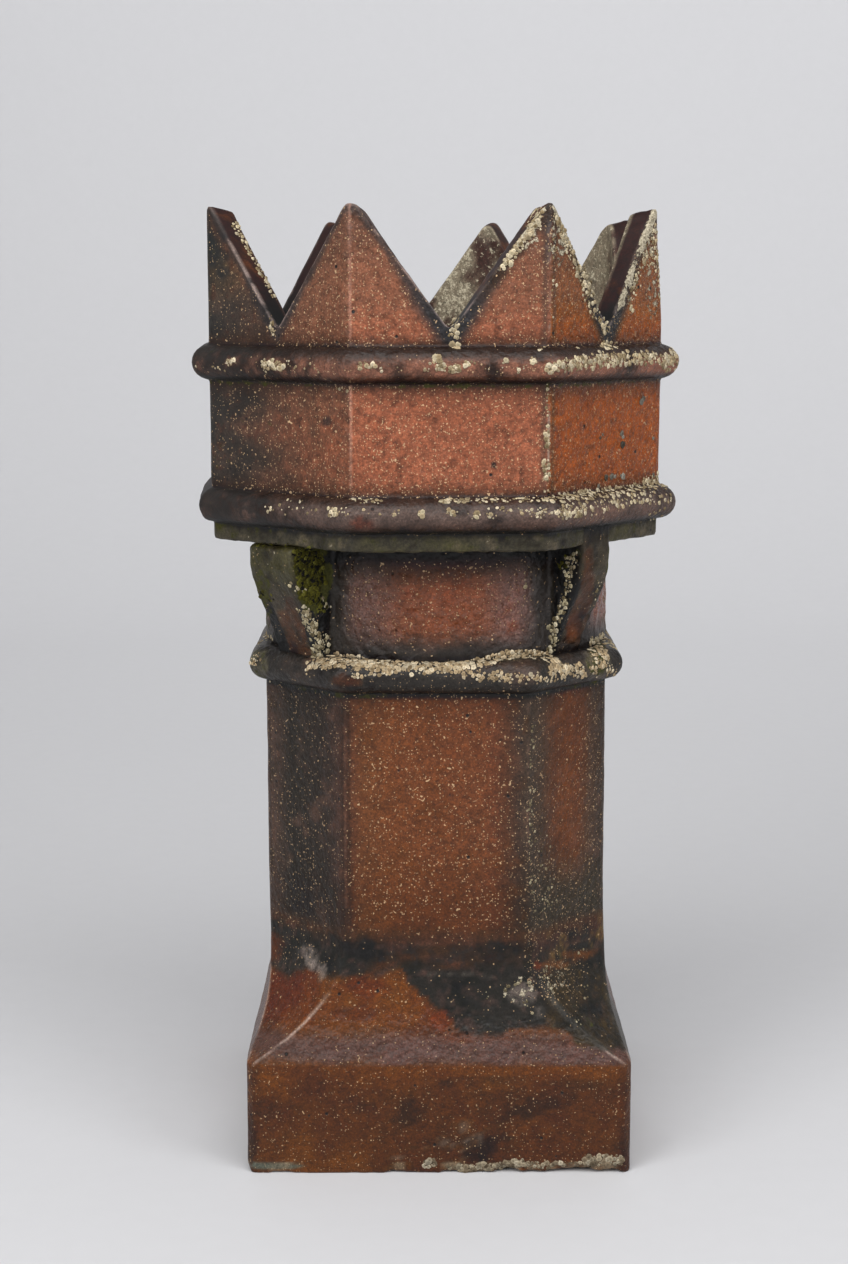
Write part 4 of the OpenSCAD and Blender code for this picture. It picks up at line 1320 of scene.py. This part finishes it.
def grains(name, places, normals, sizes, tones, rng, rise):
    # low knobbly cushions, each standing on the skin and sunk a little into it
    count, sides = len(places), cushion["sides"]
    random = rng.normal(size=(count, 3))
    along = random - normals * np.sum(random * normals, 1, keepdims=True)
    along /= np.linalg.norm(along, axis=1, keepdims=True)
    cross = np.cross(normals, along)
    angles = np.linspace(0, 2 * math.pi, sides, endpoint=False)
    rings = []
    for reach, height in cushion["rings"]:
        uneven = rng.uniform(1 - cushion["uneven"], 1 + cushion["uneven"], (count, sides))
        wobble = cushion["spread"] * reach * sizes[:, None] * uneven
        ring = places[:, None] + along[:, None] * (wobble * np.cos(angles))[..., None]
        ring = ring + cross[:, None] * (wobble * np.sin(angles))[..., None]
        rings.append(ring + normals[:, None] * (height * rise * sizes)[:, None, None])
    tall = np.where(rng.random(count) < cushion["hollowShare"], cushion["hollowTop"], cushion["top"])
    top = places + normals * (tall * rise * sizes)[:, None]
    foot = places - normals * (cushion["foot"] * rise * sizes)[:, None]
    points = np.concatenate([rings[0], rings[1], top[:, None], foot[:, None]], 1)
    edges = [(i, (i + 1) % sides) for i in range(sides)]
    quads = [(a, b, b + sides, a + sides) for a, b in edges]
    caps = [(a + sides, b + sides, 2 * sides) for a, b in edges]
    feet = [(b, a, 2 * sides + 1) for a, b in edges]
    each = 2 * sides + 2
    faces = [[i * each + v for v in face] for i in range(count) for face in quads + caps + feet]
    piece = meshPiece(name, insideBox(points.reshape(-1, 3)), faces)
    pick = np.array([hexTone(code) for code in tones])[rng.integers(0, len(tones), count)]
    dark = np.concatenate([np.full(sides, cushion["footShade"]), np.ones(sides),
                           [1.0, cushion["undersideShade"]]])
    shade = dark[None, :] * rng.uniform(*cushion["shades"], (count, 1))
    shade[:, 2 * sides] *= cushion["topShade"]
    lay(piece, {"tone": pick[:, None] * shade[..., None]})
    print(name, len(faces), "faces")
    return piece


def crustoseLichen():
    # Lichen dried hard on the glaze: cream to tan, dead matt and mealy, darker in its hollows
    material, tree, shader = newMaterial("crustoseLichen")
    place = node(tree, "ShaderNodeTexCoord", give="Object")
    tone = node(tree, "ShaderNodeAttribute", give="Color", attribute_name="tone")
    meal = node(tree, "ShaderNodeTexNoise",
                {"Vector": place, "Scale": perMm(0.9), "Detail": 3.0, "Roughness": 0.6})
    shade = node(tree, "ShaderNodeMapRange",
                 {"Value": meal, "From Min": 0.3, "From Max": 0.7, "To Min": 0.74, "To Max": 1.14})
    colour = node(tree, "ShaderNodeVectorMath", {0: tone, "Scale": shade}, operation="SCALE")
    tree.links.new(colour, shader.inputs["Base Color"])
    shader.inputs["Roughness"].default_value = 0.92
    shader.inputs["Specular IOR Level"].default_value = 0.25
    bump = node(tree, "ShaderNodeBump", {"Height": meal, "Strength": 0.6, "Distance": 0.0006})
    tree.links.new(bump, shader.inputs["Normal"])
    return material


def sightLine(growth, x, z):
    # from the eye to a place noted on an upright plane, or straight in to the axis from all round
    if "around" in growth:
        turn, clear = x / growth["around"], 400
        start = Vector((clear * math.sin(turn), -clear * math.cos(turn), z))
        return start, Vector((-math.sin(turn), math.cos(turn), 0))
    eye = Vector(camera["eye"])
    return eye, (Vector((x - sightX + eye.x, -growth["depth"], z)) - eye).normalized()


def growAll(skin):
    lichen = crustoseLichen()
    for order, (name, growth) in enumerate(growths.items()):
        rng = np.random.default_rng(strewn["firstSeed"] + order)
        places, normals, sizes = [], [], []
        for path, width, cover, size in growth["strips"]:
            if "around" in growth:
                path = [(math.radians(x) * growth["around"], z) for x, z in path]
            for x, z in strip(path, width, cover, growth["spacing"], rng):
                start, aim = sightLine(growth, x, z)
                spot, normal, _, _ = skin.ray_cast(start, aim)
                reach = size * (cushion["least"] + cushion["most"] * rng.random() ** cushion["fewLarge"])
                if spot is not None:
                    places.append(spot)
                    normals.append(normal if normal.dot(aim) < 0 else -normal)
                    sizes.append(reach)
        piece = grains(name, np.array(places), np.array(normals), np.array(sizes), growth["tones"], rng,
                       growth.get("rise", cushion["rise"]))
        piece.data.materials.append(lichen)


growAll(skinOf((shaft, neck, crown)))

studio = {
    "paper": "#d5d5d7",
    "lamps": [
        # name, place, aim, size, power
        ("softboxLeft", (-2.2, -2.4, 2.1), (0, 0, 0.5), (1.8, 1.8), 48),
        ("softboxRight", (2.4, -2.0, 1.9), (0, 0, 0.5), (1.6, 1.8), 35),
        ("softboxTop", (0, -1.4, 2.6), (0, -0.3, 0.2), (2.4, 1.4), 39),
        ("backdropLamp", (0.5, 2.2, 3.6), (0.5, 4.9, 1.6), (4.0, 0.5), 64),
        ("roomLamp", (0, -2.6, 3.6), (0, -4.9, 1.6), (4.0, 0.5), 24),
    ],
    "fill": 0.33,
    # a round room: radius of its wall, height, radius of the curve from floor to wall, and sides
    "room": (5.0, 4.5, 2.0, 72),
}


def makeCamera():
    eye = bpy.data.objects.new("camera", bpy.data.cameras.new("camera"))
    eye.data.sensor_width = camera["sensor"]
    eye.data.lens = camera["lens"]
    eye.data.clip_end = 100
    eye.location = Vector(camera["eye"]) * mm
    eye.rotation_euler = (math.radians(90 - camera["dip"]), 0, 0)
    bpy.context.scene.collection.objects.link(eye)
    bpy.context.scene.camera = eye


def areaLight(name, place, aim, size, power):
    lamp = bpy.data.objects.new(name, bpy.data.lights.new(name, "AREA"))
    lamp.data.shape = "RECTANGLE"
    lamp.data.size, lamp.data.size_y = size
    lamp.data.energy = power
    lamp.location = place
    lamp.visible_camera = False
    lamp.rotation_euler = (Vector(aim) - Vector(place)).to_track_quat("-Z", "Y").to_euler()
    bpy.context.scene.collection.objects.link(lamp)


def mattPaper():
    # Coated paper roll, dead matt: a faint fibre mottle keeps it from looking like flat paint
    material, tree, shader = newMaterial("mattPaper")
    place = node(tree, "ShaderNodeTexCoord", give="Object")
    fibre = node(tree, "ShaderNodeTexNoise", {"Vector": place, "Scale": perMm(25), "Detail": 3.0})
    low, high = (tuple(c * f for c in linearHex(studio["paper"])[:3]) + (1.0,) for f in (0.985, 1.015))
    tint = node(tree, "ShaderNodeMix", {0: fibre, 6: low, 7: high}, **colourMix)
    tree.links.new(tint, shader.inputs["Base Color"])
    shader.inputs["Roughness"].default_value = 0.95
    shader.inputs["Specular IOR Level"].default_value = 0.2
    return material


def makeStudio():
    # a round floor that sweeps up into the backdrop all the way round
    wall, rise, bend, around = studio["room"]
    outline = [(r, 0.0) for r in (0.4, 1.2, 2.1, wall - bend)]
    outline += [(wall - bend + bend * math.sin(a), bend - bend * math.cos(a))
                for a in np.linspace(0.08, math.pi / 2, 20)]
    outline += [(wall, rise)]
    verts = [(0.0, 0.0, 0.0)]
    verts += [(r * math.cos(t), r * math.sin(t), z) for r, z in outline
              for t in np.arange(around) * 2 * math.pi / around]
    faces = [(0, 1 + i, 1 + (i + 1) % around) for i in range(around)]
    for ring in range(len(outline) - 1):
        low, high = 1 + ring * around, 1 + (ring + 1) * around
        faces += [(low + i, high + i, high + (i + 1) % around, low + (i + 1) % around)
                  for i in range(around)]
    mesh = bpy.data.meshes.new("floor")
    mesh.from_pydata(verts, [], faces)
    mesh.shade_smooth()
    floor = bpy.data.objects.new("floor", mesh)
    bpy.context.scene.collection.objects.link(floor)
    floor.data.materials.append(mattPaper())
    for lamp in studio["lamps"]:
        areaLight(*lamp)
    world = bpy.data.worlds.new("studio")
    world.use_nodes = True
    world.node_tree.nodes["Background"].inputs["Color"].default_value = (1, 1, 1, 1)
    world.node_tree.nodes["Background"].inputs["Strength"].default_value = studio["fill"]
    bpy.context.scene.world = world
    bpy.context.scene.view_settings.view_transform = "Standard"


makeCamera()
makeStudio()
